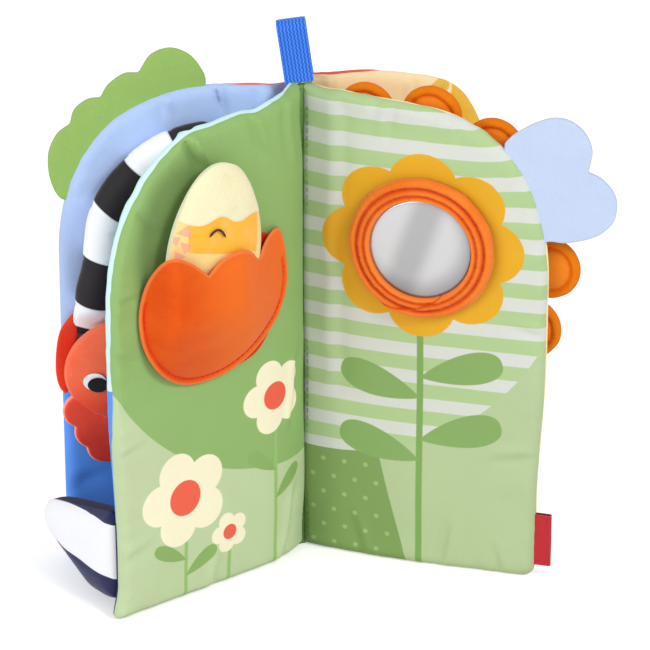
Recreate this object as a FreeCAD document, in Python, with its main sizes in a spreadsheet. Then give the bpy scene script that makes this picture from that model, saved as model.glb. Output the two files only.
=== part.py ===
"""Soft cloth activity book for a baby, standing fanned open on its four padded leaves.

Frame: millimetres, +Z up, the origin at the foot of the gutter seam, where the two inner pages
meet on the surface that the book stands on. +X is to the reader's right, -Y towards the reader.
Each leaf leaves the spine along its own heading, seen from above and measured from +X.
"""
import FreeCAD, Part
import Sketcher
import math
import os

Vector = FreeCAD.Vector
Rotation = FreeCAD.Rotation
Placement = FreeCAD.Placement
UP = Vector(0, 0, 1)

doc = FreeCAD.newDocument("SoftBook")

# ---------------------------------------------------------------- driving sizes

SIZES = [
    # leaves
    ("leaf_width", 110.0), ("leaf_height", 220.0), ("leaf_thick", 8.0), ("cloth", 1.0),
    ("rim", 1.5), ("soft_gap", 0.2), ("seam_gap", 0.1), ("crown_turn", 5.7), ("foot_radius", 6.0),
    ("flange_width", 10.0), ("flange_thick", 2.0), ("crown_ratio", 5.0), ("shoulder_ratio", 0.53),
    ("front_cover_share", 0.964), ("back_cover_share", 0.8),
    # spine
    ("root_gap", 1.2), ("tape_thick", 1.5), ("tape_out", 0.4), ("binding_in", 0.3),
    ("loop_width", 12.5), ("loop_height", 28.0), ("loop_inside", 6.5), ("loop_thick", 1.3),
    ("loop_lean", 8.0),
    # tulip pocket and the chick that sits in it
    ("pocket_radius", 40.0), ("pocket_cloth", 2.0), ("pocket_side", 57.5),
    ("pocket_level", 142.0), ("pocket_rise", 4.5), ("pocket_mouth", 2.0),
    ("lining_thick", 1.2),
    ("chick_half_width", 24.0), ("chick_half_high", 40.0), ("chick_half_thick", 10.0),
    ("chick_cloth", 1.0), ("chick_side", 65.0), ("chick_level", 167.0),
    # mirror flower
    ("mirror_radius", 24.0), ("mirror_thick", 1.5), ("ring_inner", 21.5), ("ring_outer", 31.5),
    ("ring_high", 7.0), ("ring_round", 2.5), ("flower_side", 55.0),
    ("flower_level", 155.0), ("fit_gap", 0.2),
    # felt tabs and the side tag
    ("felt_thick", 3.0), ("tag_width", 8.5), ("tag_height", 25.0), ("tag_thick", 1.8),
    ("tag_foot", 6.0),
    # mane petals on the back of the right page
    ("petal_radius", 14.0), ("petal_thick", 6.0), ("mane_radius", 64.0), ("mane_side", 44.0),
    ("mane_drop", 74.0), ("mane_step", 27.0), ("mane_first", 107.0), ("petal_round", 2.0),
    ("ridge_radius", 9.0), ("ridge_width", 1.2), ("ridge_deep", 0.8),
    # striped tube
    ("tube_radius", 7.5), ("tube_wall", 0.8), ("tube_bend", 49.0), ("tube_side", 40.0),
    ("tube_level", 150.0), ("tube_leg", 31.0), ("tube_turn", 92.0), ("tube_trim", 1.5),
    # fish
    ("fish_half_width", 26.5), ("fish_half_high", 23.5), ("fish_half_thick", 9.0),
    ("fish_cloth", 1.0), ("fish_side", 80.0), ("fish_level", 94.5), ("fin_thick", 5.0),
    ("top_fin_thick", 3.0), ("top_fin_out", 30.5), ("top_fin_in", 22.0), ("top_fin_turn", 78.0),
    ("top_fin_start", 129.0), ("top_fin_seat", 0.6), ("eye_side", -14.0), ("eye_level", -2.2),
    ("eye_radius", 5.4), ("pupil_radius", 4.0), ("eye_thick", 0.8),
    # whale tail
    ("tail_length", 52.3), ("tail_high", 43.2), ("tail_rise", 5.8), ("tail_thick", 18.0),
    ("tail_side", 108.0), ("tail_belly", 12.2), ("tail_belly_out", 16.0), ("tail_tip", 9.7),
    ("tail_tip_level", 28.6),
]
MANE_PETALS = 9

sheet = doc.addObject("Spreadsheet::Sheet", "Sizes")
for row, (alias, value) in enumerate(SIZES, start=1):
    sheet.set("A%d" % row, alias)
    sheet.set("B%d" % row, str(value))
    sheet.setAlias("B%d" % row, alias)
doc.recompute()


def size(alias):
    """The number in the sheet's cell of that name."""
    return float(sheet.get(alias))


def bind(obj, **expressions):
    """Ties an object's properties to cells of the sheet; each value is an expression."""
    for prop, text in expressions.items():
        obj.setExpression(prop, text)


NODES = []


def node(obj, name, placement=None):
    """Names a finished sub-part and, where given, puts it in its place."""
    obj.Label = name
    if placement is not None:
        obj.Placement = placement
    NODES.append(obj)
    return obj


# ---------------------------------------------------------------- leaf geometry

LEAF_WIDTH = size("leaf_width")
LEAF_HEIGHT = size("leaf_height")
LEAF_THICK = size("leaf_thick")
CLOTH = size("cloth")
SOFT_GAP = size("soft_gap")
ROOT_GAP = size("root_gap")


class Leaf:
    """One leaf: an arc out of the gutter, then a flat stretch. u runs along the leaf's reading
    face from the spine, w is the depth behind that face, and z is up."""

    def __init__(self, root, heading, turn, bend, side, thick_from, share=1.0):
        self.root = Vector(root[0], root[1], 0)
        self.side = side                        # +1: depth is to the left of the heading
        self.turn = math.radians(turn)          # how far the arc turns
        self.bend = bend                        # its radius on the reading face
        self.flat = math.radians(heading)       # heading of the flat stretch
        self.arc = self.turn * bend             # length of the arc
        self.thick_from = thick_from            # where the padded part starts
        self.width = LEAF_WIDTH * share

    def heading(self, u):
        left = max(self.arc - u, 0) / self.bend if self.turn else 0
        return self.flat - self.side * left

    def along(self, u):
        angle = self.heading(u)
        return Vector(math.cos(angle), math.sin(angle), 0)

    def back(self, u):
        angle = self.heading(u)
        return Vector(-math.sin(angle), math.cos(angle), 0) * self.side

    def point(self, u, w, z=0.0):
        """The point at arc length u, depth w and height z."""
        base = self.root
        if self.turn:
            centre = self.root + self.back(0) * self.bend
            base = centre - self.back(min(u, self.arc)) * self.bend
        base = base + self.along(u) * max(u - self.arc, 0)
        return base + self.back(u) * w + UP * z

    def line(self, w, start, end):
        """Edges along the leaf at depth w from start to end."""
        edges = []
        if start < self.arc:
            stop = min(end, self.arc)
            middle = (start + stop) / 2
            edges.append(Part.Arc(self.point(start, w), self.point(middle, w),
                                  self.point(stop, w)).toShape())
        if end > self.arc:
            first = max(start, self.arc)
            edges.append(Part.LineSegment(self.point(first, w), self.point(end, w)).toShape())
        return edges

    def slab(self, w_near, w_far, start, end):
        """A layer of the leaf between two depths, as high as the leaf."""
        edges = self.line(w_near, start, end)
        edges.append(Part.LineSegment(self.point(end, w_near), self.point(end, w_far)).toShape())
        edges += self.line(w_far, start, end)
        edges.append(Part.LineSegment(self.point(start, w_far), self.point(start, w_near)).toShape())
        ring = Part.Wire(Part.__sortEdges__(edges))
        return Part.Face(ring).extrude(UP * LEAF_HEIGHT)

    def frame(self, u, z, w=0.0, facing="front"):
        """Placement of a flat piece on the leaf, its own z pointing out of the named face and
        its own y up."""
        normal = self.back(u) * (-1 if facing == "front" else 1)
        right = UP.cross(normal)
        turn = Rotation(right, UP, normal, "ZXY")
        return Placement(self.point(u, w, z), turn)

    def flat_x(self, u):
        """How far u lies from the root along the flat stretch's direction."""
        return (self.point(u, 0) - self.root).dot(self.along(self.arc))


def arch_wire(leaf, inset):
    """The leaf's outline, inset all round: a shallow crown, a shoulder and a slightly bowed
    outer edge, three tangent arcs, then straight down to a rounded foot corner."""
    width = leaf.flat_x(leaf.width)
    crown, shoulder, edge = size("crown_ratio") * width, size("shoulder_ratio") * width, width
    first = math.radians(size("crown_turn"))
    second = math.asin(math.sin(first) * (crown - shoulder) / (edge - shoulder))
    foot = size("foot_radius")
    along, across = leaf.along(leaf.arc), leaf.back(leaf.arc)
    origin = leaf.root - across * (2 * LEAF_THICK)

    def at(x, z):
        return origin + along * x + UP * z

    def arc(centre_x, centre_z, radius, start, end):
        """Angles are measured from the crown's top, turning towards the outer edge."""
        angles = (start, (start + end) / 2, end)
        points = [at(centre_x + radius * math.sin(a), centre_z + radius * math.cos(a))
                  for a in angles]
        return Part.Arc(*points).toShape(), points[0], points[2]

    crown_z = LEAF_HEIGHT - crown
    shoulder_x = (crown - shoulder) * math.sin(first)
    shoulder_z = crown_z + (crown - shoulder) * math.cos(first)
    edge_x = shoulder_x + (shoulder - edge) * math.sin(second)
    edge_z = shoulder_z + (shoulder - edge) * math.cos(second)
    top, top_start, _ = arc(0, crown_z, crown - inset, 0, first)
    bow, _, _ = arc(shoulder_x, shoulder_z, shoulder - inset, first, second)
    side, _, side_end = arc(edge_x, edge_z, edge - inset, second, math.pi / 2)
    corner, corner_start, corner_end = arc(width - foot, foot, foot - inset, math.pi / 2, math.pi)
    spine_foot = at(0, inset)
    edges = [top, bow, side,
             Part.LineSegment(side_end, corner_start).toShape(), corner,
             Part.LineSegment(corner_end, spine_foot).toShape(),
             Part.LineSegment(spine_foot, top_start).toShape()]
    return Part.Wire(edges)


def arch_prism(leaf, inset):
    """The outline drawn through the whole thickness of the leaf, and well past it."""
    return Part.Face(arch_wire(leaf, inset)).extrude(leaf.back(leaf.arc) * (6 * LEAF_THICK))


def feature(name, shape):
    obj = doc.addObject("Part::Feature", "Shape_" + name)
    obj.Shape = shape
    return node(obj, name)


def padded_leaf(leaf, front_name, back_name, padding_name):
    """A leaf sewn from a flat reading panel and a back panel whose rim closes the sides, with a
    sheet of padding between them."""
    start = leaf.thick_from
    rim = size("rim")
    outside = arch_prism(leaf, 0)
    inside = arch_prism(leaf, rim)
    fill = arch_prism(leaf, rim + SOFT_GAP)
    end = leaf.width + 1
    floor = LEAF_THICK - CLOTH
    front = leaf.slab(0, CLOTH, start, end).common(outside)
    tray = leaf.slab(CLOTH + size("seam_gap"), LEAF_THICK, start, end).common(outside)
    tray = tray.cut(leaf.slab(0, floor, start + rim, end).common(inside))
    if start > ROOT_GAP:
        flange_near = LEAF_THICK - size("flange_thick")
        tray = tray.fuse(leaf.slab(flange_near, LEAF_THICK, 0, start + rim / 2).common(outside))
        tray = tray.removeSplitter()
    pad = leaf.slab(CLOTH + SOFT_GAP, floor - SOFT_GAP, start + rim + SOFT_GAP, end).common(fill)
    feature(front_name, front.Solids[0])
    feature(back_name, tray.Solids[0])
    feature(padding_name, pad.Solids[0])


left_page = Leaf((0, 0), 218.9, 31.7, 53.0, -1, ROOT_GAP)
right_page = Leaf((0, 0), -15.4, 10.0, 348.0, 1, ROOT_GAP)
front_cover = Leaf((-1.073, 8.871), 191.0, 0, 1, -1, size("flange_width"),
                   size("front_cover_share"))
back_cover = Leaf((3.347, 9.682), 24.0, 0, 1, 1, size("flange_width"), size("back_cover_share"))

padded_leaf(left_page, "left_page_front_panel", "left_page_back_panel", "left_page_padding")
padded_leaf(right_page, "right_page_front_panel", "right_page_back_panel", "right_page_padding")
padded_leaf(front_cover, "front_cover_inner_panel", "front_cover_outer_panel",
            "front_cover_padding")
padded_leaf(back_cover, "back_cover_inner_panel", "back_cover_outer_panel",
            "back_cover_padding")


# ---------------------------------------------------------------- building blocks

FIT = size("fit_gap")


def box(name, length, width, height, corner=Vector()):
    """A box whose three sides are expressions."""
    obj = doc.addObject("Part::Box", name)
    bind(obj, Length=length, Width=width, Height=height)
    obj.Placement = Placement(corner, Rotation())
    return obj


def cylinder(name, radius, height, centre=Vector(), turn=None):
    obj = doc.addObject("Part::Cylinder", name)
    bind(obj, Radius=radius, Height=height)
    obj.Placement = Placement(centre, turn or Rotation())
    return obj


def ellipsoid(name, across, high, thick):
    """Half sizes: across along x, high along y, thick along z."""
    obj = doc.addObject("Part::Ellipsoid", name)
    bind(obj, Radius1=thick, Radius2=across, Radius3=high)
    obj.Angle1 = -90
    obj.Angle2 = 90
    return obj


def fuse(name, parts):
    obj = doc.addObject("Part::MultiFuse", name)
    obj.Shapes = parts
    return obj


def cut(name, base, tool):
    obj = doc.addObject("Part::Cut", name)
    obj.Base = base
    obj.Tool = tool
    return obj


def common(name, first, second):
    obj = doc.addObject("Part::Common", name)
    obj.Base = first
    obj.Tool = second
    return obj


def body_sketch(body, name):
    """A sketch on the body's own XY plane."""
    sketch = body.newObject("Sketcher::SketchObject", name)
    plane = [item for item in body.Origin.OriginFeatures if item.Role == "XY_Plane"][0]
    sketch.AttachmentSupport = [(plane, "")]
    sketch.MapMode = "FlatFace"
    return sketch


def circle(sketch, radius):
    """A circle about the sketch's origin whose radius is an expression."""
    index = sketch.addGeometry(Part.Circle(Vector(), UP, 10), False)
    sketch.addConstraint(Sketcher.Constraint("Coincident", index, 3, -1, 1))
    bound = sketch.addConstraint(Sketcher.Constraint("Radius", index, 10))
    sketch.setExpression("Constraints[%d]" % bound, radius)


def pad(body, name, sketch, length):
    feature_obj = body.newObject("PartDesign::Pad", name)
    feature_obj.Profile = sketch
    bind(feature_obj, Length=length)
    return feature_obj


def pocket(body, name, sketch, length):
    """Cuts from the XY plane upwards, into the solid."""
    before = body.Shape.Volume
    feature_obj = body.newObject("PartDesign::Pocket", name)
    feature_obj.Profile = sketch
    feature_obj.Reversed = True
    bind(feature_obj, Length=length)
    doc.recompute()
    if not body.Shape.Volume < before:
        raise RuntimeError("%s cuts nothing" % name)
    return feature_obj


def rim_edges(shape, radius, z):
    """Names of the circular edges of that radius at that height."""
    found = []
    for number, edge in enumerate(shape.Edges, start=1):
        curve = edge.Curve
        if isinstance(curve, Part.Circle) and abs(curve.Radius - radius) < 0.01 \
                and abs(curve.Center.z - z) < 0.01:
            found.append("Edge%d" % number)
    return found


def fillet(body, name, base, edges, radius):
    feature_obj = body.newObject("PartDesign::Fillet", name)
    feature_obj.Base = (base, edges)
    bind(feature_obj, Radius=radius)
    return feature_obj


# ---------------------------------------------------------------- spine and hang loop

def spine():
    """The bound seam allowances of the two inner pages fill the wedge behind the gutter, and a
    tape stands between the roots of the two covers, which turn at its sides. Returns the point
    where the tape meets the binding."""
    near, far = size("binding_in"), LEAF_THICK
    to_left = left_page.along(0) * -FIT
    to_right = right_page.along(0) * -FIT
    corners = [left_page.point(ROOT_GAP, near) + to_left, left_page.point(ROOT_GAP, far) + to_left,
               right_page.point(ROOT_GAP, far) + to_right,
               right_page.point(ROOT_GAP, near) + to_right]
    ring = Part.makePolygon(corners + corners[:1])
    feature("spine_binding", Part.Face(ring).extrude(UP * LEAF_HEIGHT))
    outer = (front_cover.point(0, LEAF_THICK) + back_cover.point(0, LEAF_THICK)) / 2
    left, right = corners[1], corners[2]
    tape_right = outer.x + size("tape_thick") / 2
    seat = left.y + (right.y - left.y) * (tape_right - left.x) / (right.x - left.x) + FIT
    length = outer.y + size("tape_out") - seat
    tape = box("Tape", "Sizes.tape_thick", "%.3f mm" % length, "Sizes.leaf_height")
    foot = Vector(outer.x - size("tape_thick") / 2, seat, 0)
    node(tape, "spine_tape", Placement(foot, Rotation()))
    return Vector(outer.x, seat, 0)


def hang_loop(foot):
    """Half-inch webbing folded into a loop, its two legs sewn down on the bound seam."""
    inside = size("loop_inside")
    outer_r = inside / 2 + size("loop_thick")
    level = size("loop_height") - outer_r
    lying = Rotation(Vector(0, 1, 0), 90)
    width = "Sizes.loop_width"
    outer = fuse("LoopOuter", [
        box("LoopLegs", width, "Sizes.loop_inside + 2 * Sizes.loop_thick",
            "Sizes.loop_height - Sizes.loop_inside / 2 - Sizes.loop_thick", Vector(0, -outer_r, 0)),
        cylinder("LoopBend", "Sizes.loop_inside / 2 + Sizes.loop_thick", width,
                 Vector(0, 0, level), lying)])
    inner = fuse("LoopInner", [
        box("LoopGap", width + " + 2", "Sizes.loop_inside",
            "Sizes.loop_height - Sizes.loop_inside / 2 - Sizes.loop_thick + 1",
            Vector(-1, -inside / 2, -1)),
        cylinder("LoopEye", "Sizes.loop_inside / 2", width + " + 2", Vector(-1, 0, level), lying)])
    loop = cut("Loop", outer, inner)
    corner = foot + Vector(-size("loop_width") / 2, 0, LEAF_HEIGHT + FIT)
    node(loop, "hang_loop", Placement(corner, Rotation(Vector(0, 1, 0), -size("loop_lean"))))


hang_loop(spine())


# ---------------------------------------------------------------- tulip pocket and chick

def tulip(name, inset, depth):
    """A round cup with three petals along its mouth. Each petal is x, y, radius, from the
    cup's centre."""
    petals = [(-21.0, 1.5, 20.0), (11.5, -5.0, 20.0), (32.0, 12.0, 8.5)]
    cup = cylinder(name + "Cup", "Sizes.pocket_radius - %s" % inset, depth)
    half = box(name + "Half", "Sizes.pocket_radius * 2", "Sizes.pocket_radius", depth,
               Vector(-size("pocket_radius"), size("pocket_rise") - size("pocket_radius"), 0))
    discs = [cylinder("%sPetal%d" % (name, i), "%s mm" % (radius - inset), depth,
                      Vector(x, y, 0)) for i, (x, y, radius) in enumerate(petals)]
    return fuse(name, [common(name + "Bowl", cup, half)] + discs)


def tulip_pocket():
    """A padded front that stands off the page by the chick's thickness, closed to the page
    along its round edge and open along its mouth, over a lining with a taller back petal."""
    depth = "Sizes.lining_thick + 3 * Sizes.fit_gap + 2 * Sizes.chick_half_thick"
    outside = tulip("Tulip", 0, depth + " + Sizes.pocket_cloth")
    room = cylinder("TulipRoom", "Sizes.pocket_radius - Sizes.pocket_cloth", depth)
    mouth = box("TulipMouth", "Sizes.pocket_radius * 2.4", "Sizes.pocket_radius", depth,
                Vector(-1.2 * size("pocket_radius"), size("pocket_mouth"), 0))
    front = cut("TulipFront", outside, fuse("TulipSpace", [room, mouth]))
    place = left_page.frame(size("pocket_side"), size("pocket_level"), w=-FIT)
    node(front, "pocket_front", place)
    lining = fuse("Lining", [
        cylinder("LiningCup", "Sizes.pocket_radius - Sizes.pocket_cloth - Sizes.fit_gap",
                 "Sizes.lining_thick"),
        cylinder("LiningPetal", "14 mm", "Sizes.lining_thick", Vector(19, 13, 0)),
        cylinder("LiningPetalLow", "19 mm", "Sizes.lining_thick", Vector(-16, 2, 0))])
    node(lining, "pocket_lining", place)


def egg(prefix, across, high, thick, cloth):
    """An ellipsoid sewn from a front and a back half, with its stuffing: three sub-parts."""
    def shrink(text, by):
        return "%s - %s" % (text, by)
    outer = ellipsoid(prefix + "Outer", across, high, thick)
    inner = ellipsoid(prefix + "Inner", shrink(across, cloth), shrink(high, cloth),
                      shrink(thick, cloth))
    shell = cut(prefix + "Shell", outer, inner)
    reach = 200
    front_half = doc.addObject("Part::Box", prefix + "FrontHalf")
    back_half = doc.addObject("Part::Box", prefix + "BackHalf")
    for half, low in ((front_half, 0), (back_half, -reach)):
        half.Length = half.Width = half.Height = reach
        half.Placement = Placement(Vector(-reach / 2, -reach / 2, low), Rotation())
    filling = cloth + " - Sizes.fit_gap"
    stuffing = ellipsoid(prefix + "Stuffing", shrink(across, filling), shrink(high, filling),
                         shrink(thick, filling))
    return (common(prefix + "Front", shell, front_half),
            common(prefix + "Back", shell, back_half), stuffing)


def chick():
    front, back, stuffing = egg("Chick", "Sizes.chick_half_width", "Sizes.chick_half_high",
                                "Sizes.chick_half_thick", "Sizes.chick_cloth")
    stand_off = 2 * FIT + size("lining_thick") + size("chick_half_thick")
    place = left_page.frame(size("pocket_side"), size("chick_level"), w=-stand_off)
    side = Placement(Vector(size("pocket_side") - size("chick_side"), 0, 0), Rotation())
    for obj, name in ((front, "chick_front"), (back, "chick_back"), (stuffing, "chick_stuffing")):
        node(obj, name, place * side)


tulip_pocket()
chick()


# ---------------------------------------------------------------- mirror flower

def mirror_flower():
    """A padded ring holds a mirror disc in a rebate on its back, on the right page."""
    place = right_page.frame(size("flower_side"), size("flower_level"), w=-FIT)
    disc = doc.addObject("PartDesign::Body", "MirrorDisc")
    sketch = body_sketch(disc, "MirrorSketch")
    circle(sketch, "Sizes.mirror_radius")
    pad(disc, "MirrorPad", sketch, "Sizes.mirror_thick")
    node(disc, "mirror_disc", place)

    ring = doc.addObject("PartDesign::Body", "MirrorRing")
    sketch = body_sketch(ring, "RingSketch")
    circle(sketch, "Sizes.ring_outer")
    circle(sketch, "Sizes.ring_inner")
    blank = pad(ring, "RingPad", sketch, "Sizes.ring_high")
    doc.recompute()
    tops = rim_edges(blank.Shape, size("ring_outer"), size("ring_high")) \
        + rim_edges(blank.Shape, size("ring_inner"), size("ring_high"))
    fillet(ring, "RingRound", blank, tops, "Sizes.ring_round")
    doc.recompute()
    rebate = body_sketch(ring, "RebateSketch")
    circle(rebate, "Sizes.mirror_radius + Sizes.fit_gap")
    pocket(ring, "Rebate", rebate, "Sizes.mirror_thick + Sizes.fit_gap")
    node(ring, "mirror_ring", place)


mirror_flower()


# ---------------------------------------------------------------- felt tabs and side tag

def felt_tab(name, leaf, lobes, filler):
    """A flat felt shape of round lobes, sewn into the leaf's outer seam: it starts where the
    leaf's own outline ends. Lobes are (u, drop, radius) and the filler is a polygon of
    (u, drop), where drop is measured down from the leaf's top."""
    depth = (LEAF_THICK - size("felt_thick")) / 2
    base = leaf.point(LEAF_WIDTH, depth)
    along, back = leaf.along(LEAF_WIDTH), leaf.back(LEAF_WIDTH)
    thick = back * size("felt_thick")

    def at(u, drop):
        return base + along * (u - LEAF_WIDTH) + UP * (LEAF_HEIGHT - drop)

    corners = [at(u, drop) for u, drop in filler]
    shape = Part.Face(Part.makePolygon(corners + corners[:1])).extrude(thick)
    for u, drop, radius in lobes:
        shape = shape.fuse(Part.makeCylinder(radius, size("felt_thick"), at(u, drop), back))
    shape = shape.cut(arch_prism(leaf, -FIT)).removeSplitter()
    parts = sorted(shape.Solids, key=lambda solid: solid.Volume)
    feature(name, parts[-1])


felt_tab("cloud_tab", right_page, [(111, 19, 16.5), (122.5, 42, 16)],
         [(90, 20), (111, 30), (122, 58), (108, 59), (96, 45)])
felt_tab("bush_tab", front_cover,
         [(55.2, -2.6, 14.4), (75.2, 4.2, 10.8), (90.2, 12.5, 9), (91.8, 32, 18)],
         [(43, 4), (57, -6), (76, 3), (90, 12), (104, 30), (103, 46), (90, 42), (66, 18)])


def side_tag():
    """A short folded ribbon that stands out of the right page's outer seam."""
    tag = box("Tag", "Sizes.tag_width", "Sizes.tag_height", "Sizes.tag_thick")
    depth = (LEAF_THICK - size("tag_thick")) / 2
    place = right_page.frame(LEAF_WIDTH, size("tag_foot"), w=depth + size("tag_thick"))
    node(tag, "side_tag", place * Placement(Vector(FIT, 0, 0), Rotation()))


side_tag()


# ---------------------------------------------------------------- mane petals

def mane_petal(number, place):
    """A padded round petal with a sewn groove, lying on the back of the right page."""
    label = "Petal%d" % number
    body = doc.addObject("PartDesign::Body", label)
    sketch = body_sketch(body, label + "Sketch")
    circle(sketch, "Sizes.petal_radius")
    blank = pad(body, label + "Pad", sketch, "Sizes.petal_thick")
    doc.recompute()
    tops = rim_edges(blank.Shape, size("petal_radius"), size("petal_thick"))
    round_top = fillet(body, label + "Round", blank, tops, "Sizes.petal_round")
    groove = body_sketch(body, label + "Groove")
    groove.AttachmentOffset = Placement(Vector(0, 0, size("petal_thick")), Rotation())
    circle(groove, "Sizes.ridge_radius + Sizes.ridge_width")
    circle(groove, "Sizes.ridge_radius")
    doc.recompute()
    before = round_top.Shape.Volume
    cut_groove = body.newObject("PartDesign::Pocket", label + "Cut")
    cut_groove.Profile = groove
    bind(cut_groove, Length="Sizes.ridge_deep")
    doc.recompute()
    if not body.Shape.Volume < before:
        raise RuntimeError("the petal's groove cuts nothing")
    node(body, "mane_petal_%d" % number, place)


def mane():
    """Petals along an arc about a point on the back panel. Each lies flat against the hollow
    side of the page, clear of it by the page's sag under the petal."""
    radius = size("petal_radius")
    sag = radius ** 2 / (2 * (right_page.bend - LEAF_THICK))
    for step in range(MANE_PETALS):
        angle = math.radians(size("mane_first") - step * size("mane_step"))
        u = size("mane_side") + size("mane_radius") * math.cos(angle)
        z = LEAF_HEIGHT - size("mane_drop") + size("mane_radius") * math.sin(angle)
        mane_petal(step + 1, right_page.frame(u, z, LEAF_THICK + sag + FIT, "back"))


mane()


# ---------------------------------------------------------------- striped tube

def arched_tube(name, radius, trim):
    """A bent tube: a leg, then an arc over the top, both ends shortened by trim."""
    bend = doc.addObject("Part::Torus", name + "Bend")
    over = math.degrees(trim / size("tube_bend"))
    bind(bend, Radius1="Sizes.tube_bend", Radius2=radius)
    bend.Angle3 = size("tube_turn") - over
    start = 180 - size("tube_turn") + over
    bend.Placement = Placement(Vector(), Rotation(UP, start))
    leg = cylinder(name + "Leg", radius, "Sizes.tube_leg - %s" % trim,
                   Vector(-size("tube_bend"), trim - size("tube_leg"), 0),
                   Rotation(Vector(1, 0, 0), -90))
    return fuse(name, [bend, leg])


def striped_tube():
    place = front_cover.frame(size("tube_side"), size("tube_level"),
                              w=-(size("tube_radius") + FIT))
    wall, trim = size("tube_wall"), size("tube_trim")
    cover = cut("TubeCover", arched_tube("TubeOuter", "Sizes.tube_radius", 0),
                arched_tube("TubeInner", "Sizes.tube_radius - Sizes.tube_wall", wall))
    node(cover, "striped_tube_cover", place)
    node(arched_tube("TubeStuffing", "Sizes.tube_radius - Sizes.tube_wall - Sizes.fit_gap", trim),
         "striped_tube_stuffing", place)


striped_tube()


# ---------------------------------------------------------------- fish

def fish():
    """A stuffed round body, a scalloped fin below, a back fin behind and a felt eye."""
    thick = size("fish_half_thick")
    place = front_cover.frame(size("fish_side"), size("fish_level"), w=-(thick + FIT))
    front, back, stuffing = egg("Fish", "Sizes.fish_half_width", "Sizes.fish_half_high",
                                "Sizes.fish_half_thick", "Sizes.fish_cloth")
    for obj, name in ((front, "fish_front"), (back, "fish_back"), (stuffing, "fish_stuffing")):
        node(obj, name, place)
    room = ellipsoid("FishRoom", "Sizes.fish_half_width + Sizes.fit_gap",
                     "Sizes.fish_half_high + Sizes.fit_gap",
                     "Sizes.fish_half_thick + Sizes.fit_gap")
    scallops = [(-19.5, -18.0, 8.2), (-14.3, -28.0, 8.6), (-9.3, -35.7, 8.4), (-1.0, -29.0, 12.0)]
    low = -size("fin_thick") / 2
    fin = fuse("FinScallops", [cylinder("Scallop%d" % i, "%s mm" % radius, "Sizes.fin_thick",
                                        Vector(x, y, low))
                               for i, (x, y, radius) in enumerate(scallops)])
    node(cut("Fin", fin, room), "fish_fin", place)
    base = -size("top_fin_seat") * thick - size("top_fin_thick")
    outer = cylinder("TopFinOuter", "Sizes.top_fin_out", "Sizes.top_fin_thick",
                     Vector(0, 0, base), Rotation(UP, size("top_fin_start")))
    outer.Angle = size("top_fin_turn")
    inner = cylinder("TopFinInner", "Sizes.top_fin_in", "Sizes.top_fin_thick + 2",
                     Vector(0, 0, base - 1))
    blank = cut("TopFinBlank", outer, inner)
    node(cut("TopFin", blank, doc.copyObject(room, False)), "fish_back_fin", place)
    across, high = size("fish_half_width"), size("fish_half_high")
    x, y = size("eye_side"), size("eye_level")
    z = thick * math.sqrt(1 - (x / across) ** 2 - (y / high) ** 2)
    normal = Vector(x / across ** 2, y / high ** 2, z / thick ** 2).normalize()
    tilt = Rotation(UP, normal)
    seat = Placement(Vector(x, y, z) + normal * 2 * FIT, tilt)
    white = cylinder("EyeWhite", "Sizes.eye_radius", "Sizes.eye_thick")
    node(white, "fish_eye_white", place * seat)
    raised = Placement(Vector(0.6, -0.8, size("eye_thick") + FIT / 2), Rotation())
    pupil = cylinder("EyePupil", "Sizes.pupil_radius", "Sizes.eye_thick")
    node(pupil, "fish_eye_pupil", place * seat * raised)


fish()


# ---------------------------------------------------------------- whale tail

def tail_outline(inset, depth):
    """Length along x from the page, height along y: straight on the page, a round belly below, a
    round tip, and straight tangents from one to the next."""
    belly = Vector(size("tail_belly_out"), size("tail_rise") + size("tail_belly"), depth)
    tip = Vector(size("tail_length") - size("tail_tip"), size("tail_tip_level"), depth)
    root = Vector(0, size("tail_rise") + size("tail_high"), depth)

    def arc(centre, radius, start, end):
        """The arc and its two ends; angles are anticlockwise from x."""
        points = [centre + Vector(math.cos(a), math.sin(a), 0) * (radius - inset)
                  for a in (start, (start + end) / 2, end)]
        return Part.Arc(*points), points[0], points[2]

    span, drop = tip - belly, tip - root
    under = (math.atan2(span.y, span.x)
             - math.acos((size("tail_belly") - size("tail_tip")) / span.Length))
    over = math.atan2(drop.y, drop.x) + math.asin(size("tail_tip") / drop.Length)
    above = Vector(-math.sin(over), math.cos(over), 0)
    low_arc, low_start, low_end = arc(belly, size("tail_belly"), -math.pi / 2, under)
    tip_arc, tip_start, tip_end = arc(tip, size("tail_tip"), under, over + math.pi / 2)
    top_root = Vector(inset, (root.dot(above) - inset - inset * above.x) / above.y, depth)
    foot_root = Vector(inset, size("tail_rise") + inset, depth)
    edges = [Part.LineSegment(foot_root, low_start), low_arc,
             Part.LineSegment(low_end, tip_start), tip_arc,
             Part.LineSegment(tip_end, top_root), Part.LineSegment(top_root, foot_root)]
    return Part.Face(Part.Wire(Part.__sortEdges__([edge.toShape() for edge in edges])))


def whale_tail():
    """A stuffed tail that stands out from the back of the left page: a pale outer panel, a dark
    panel with the sides, and stuffing."""
    thick, rim = size("tail_thick"), size("rim")
    root = left_page.point(size("tail_side"), LEAF_THICK + FIT)
    length_way = left_page.back(size("tail_side"))
    place = Placement(root, Rotation(length_way, UP, length_way.cross(UP), "XYZ"))

    def layer(inset, low, high):
        return tail_outline(inset, low).extrude(UP * (high - low))

    pale = layer(0, 0, CLOTH)
    dark = layer(0, CLOTH, thick).cut(layer(rim, 0, thick - CLOTH))
    stuffing = layer(rim + SOFT_GAP, CLOTH + SOFT_GAP, thick - CLOTH - SOFT_GAP)
    for shape, name in ((pale, "tail_pale_panel"), (dark, "tail_dark_panel"),
                        (stuffing, "tail_stuffing")):
        obj = feature(name, shape)
        obj.Placement = place


whale_tail()


# ---------------------------------------------------------------- checks and files

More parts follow.
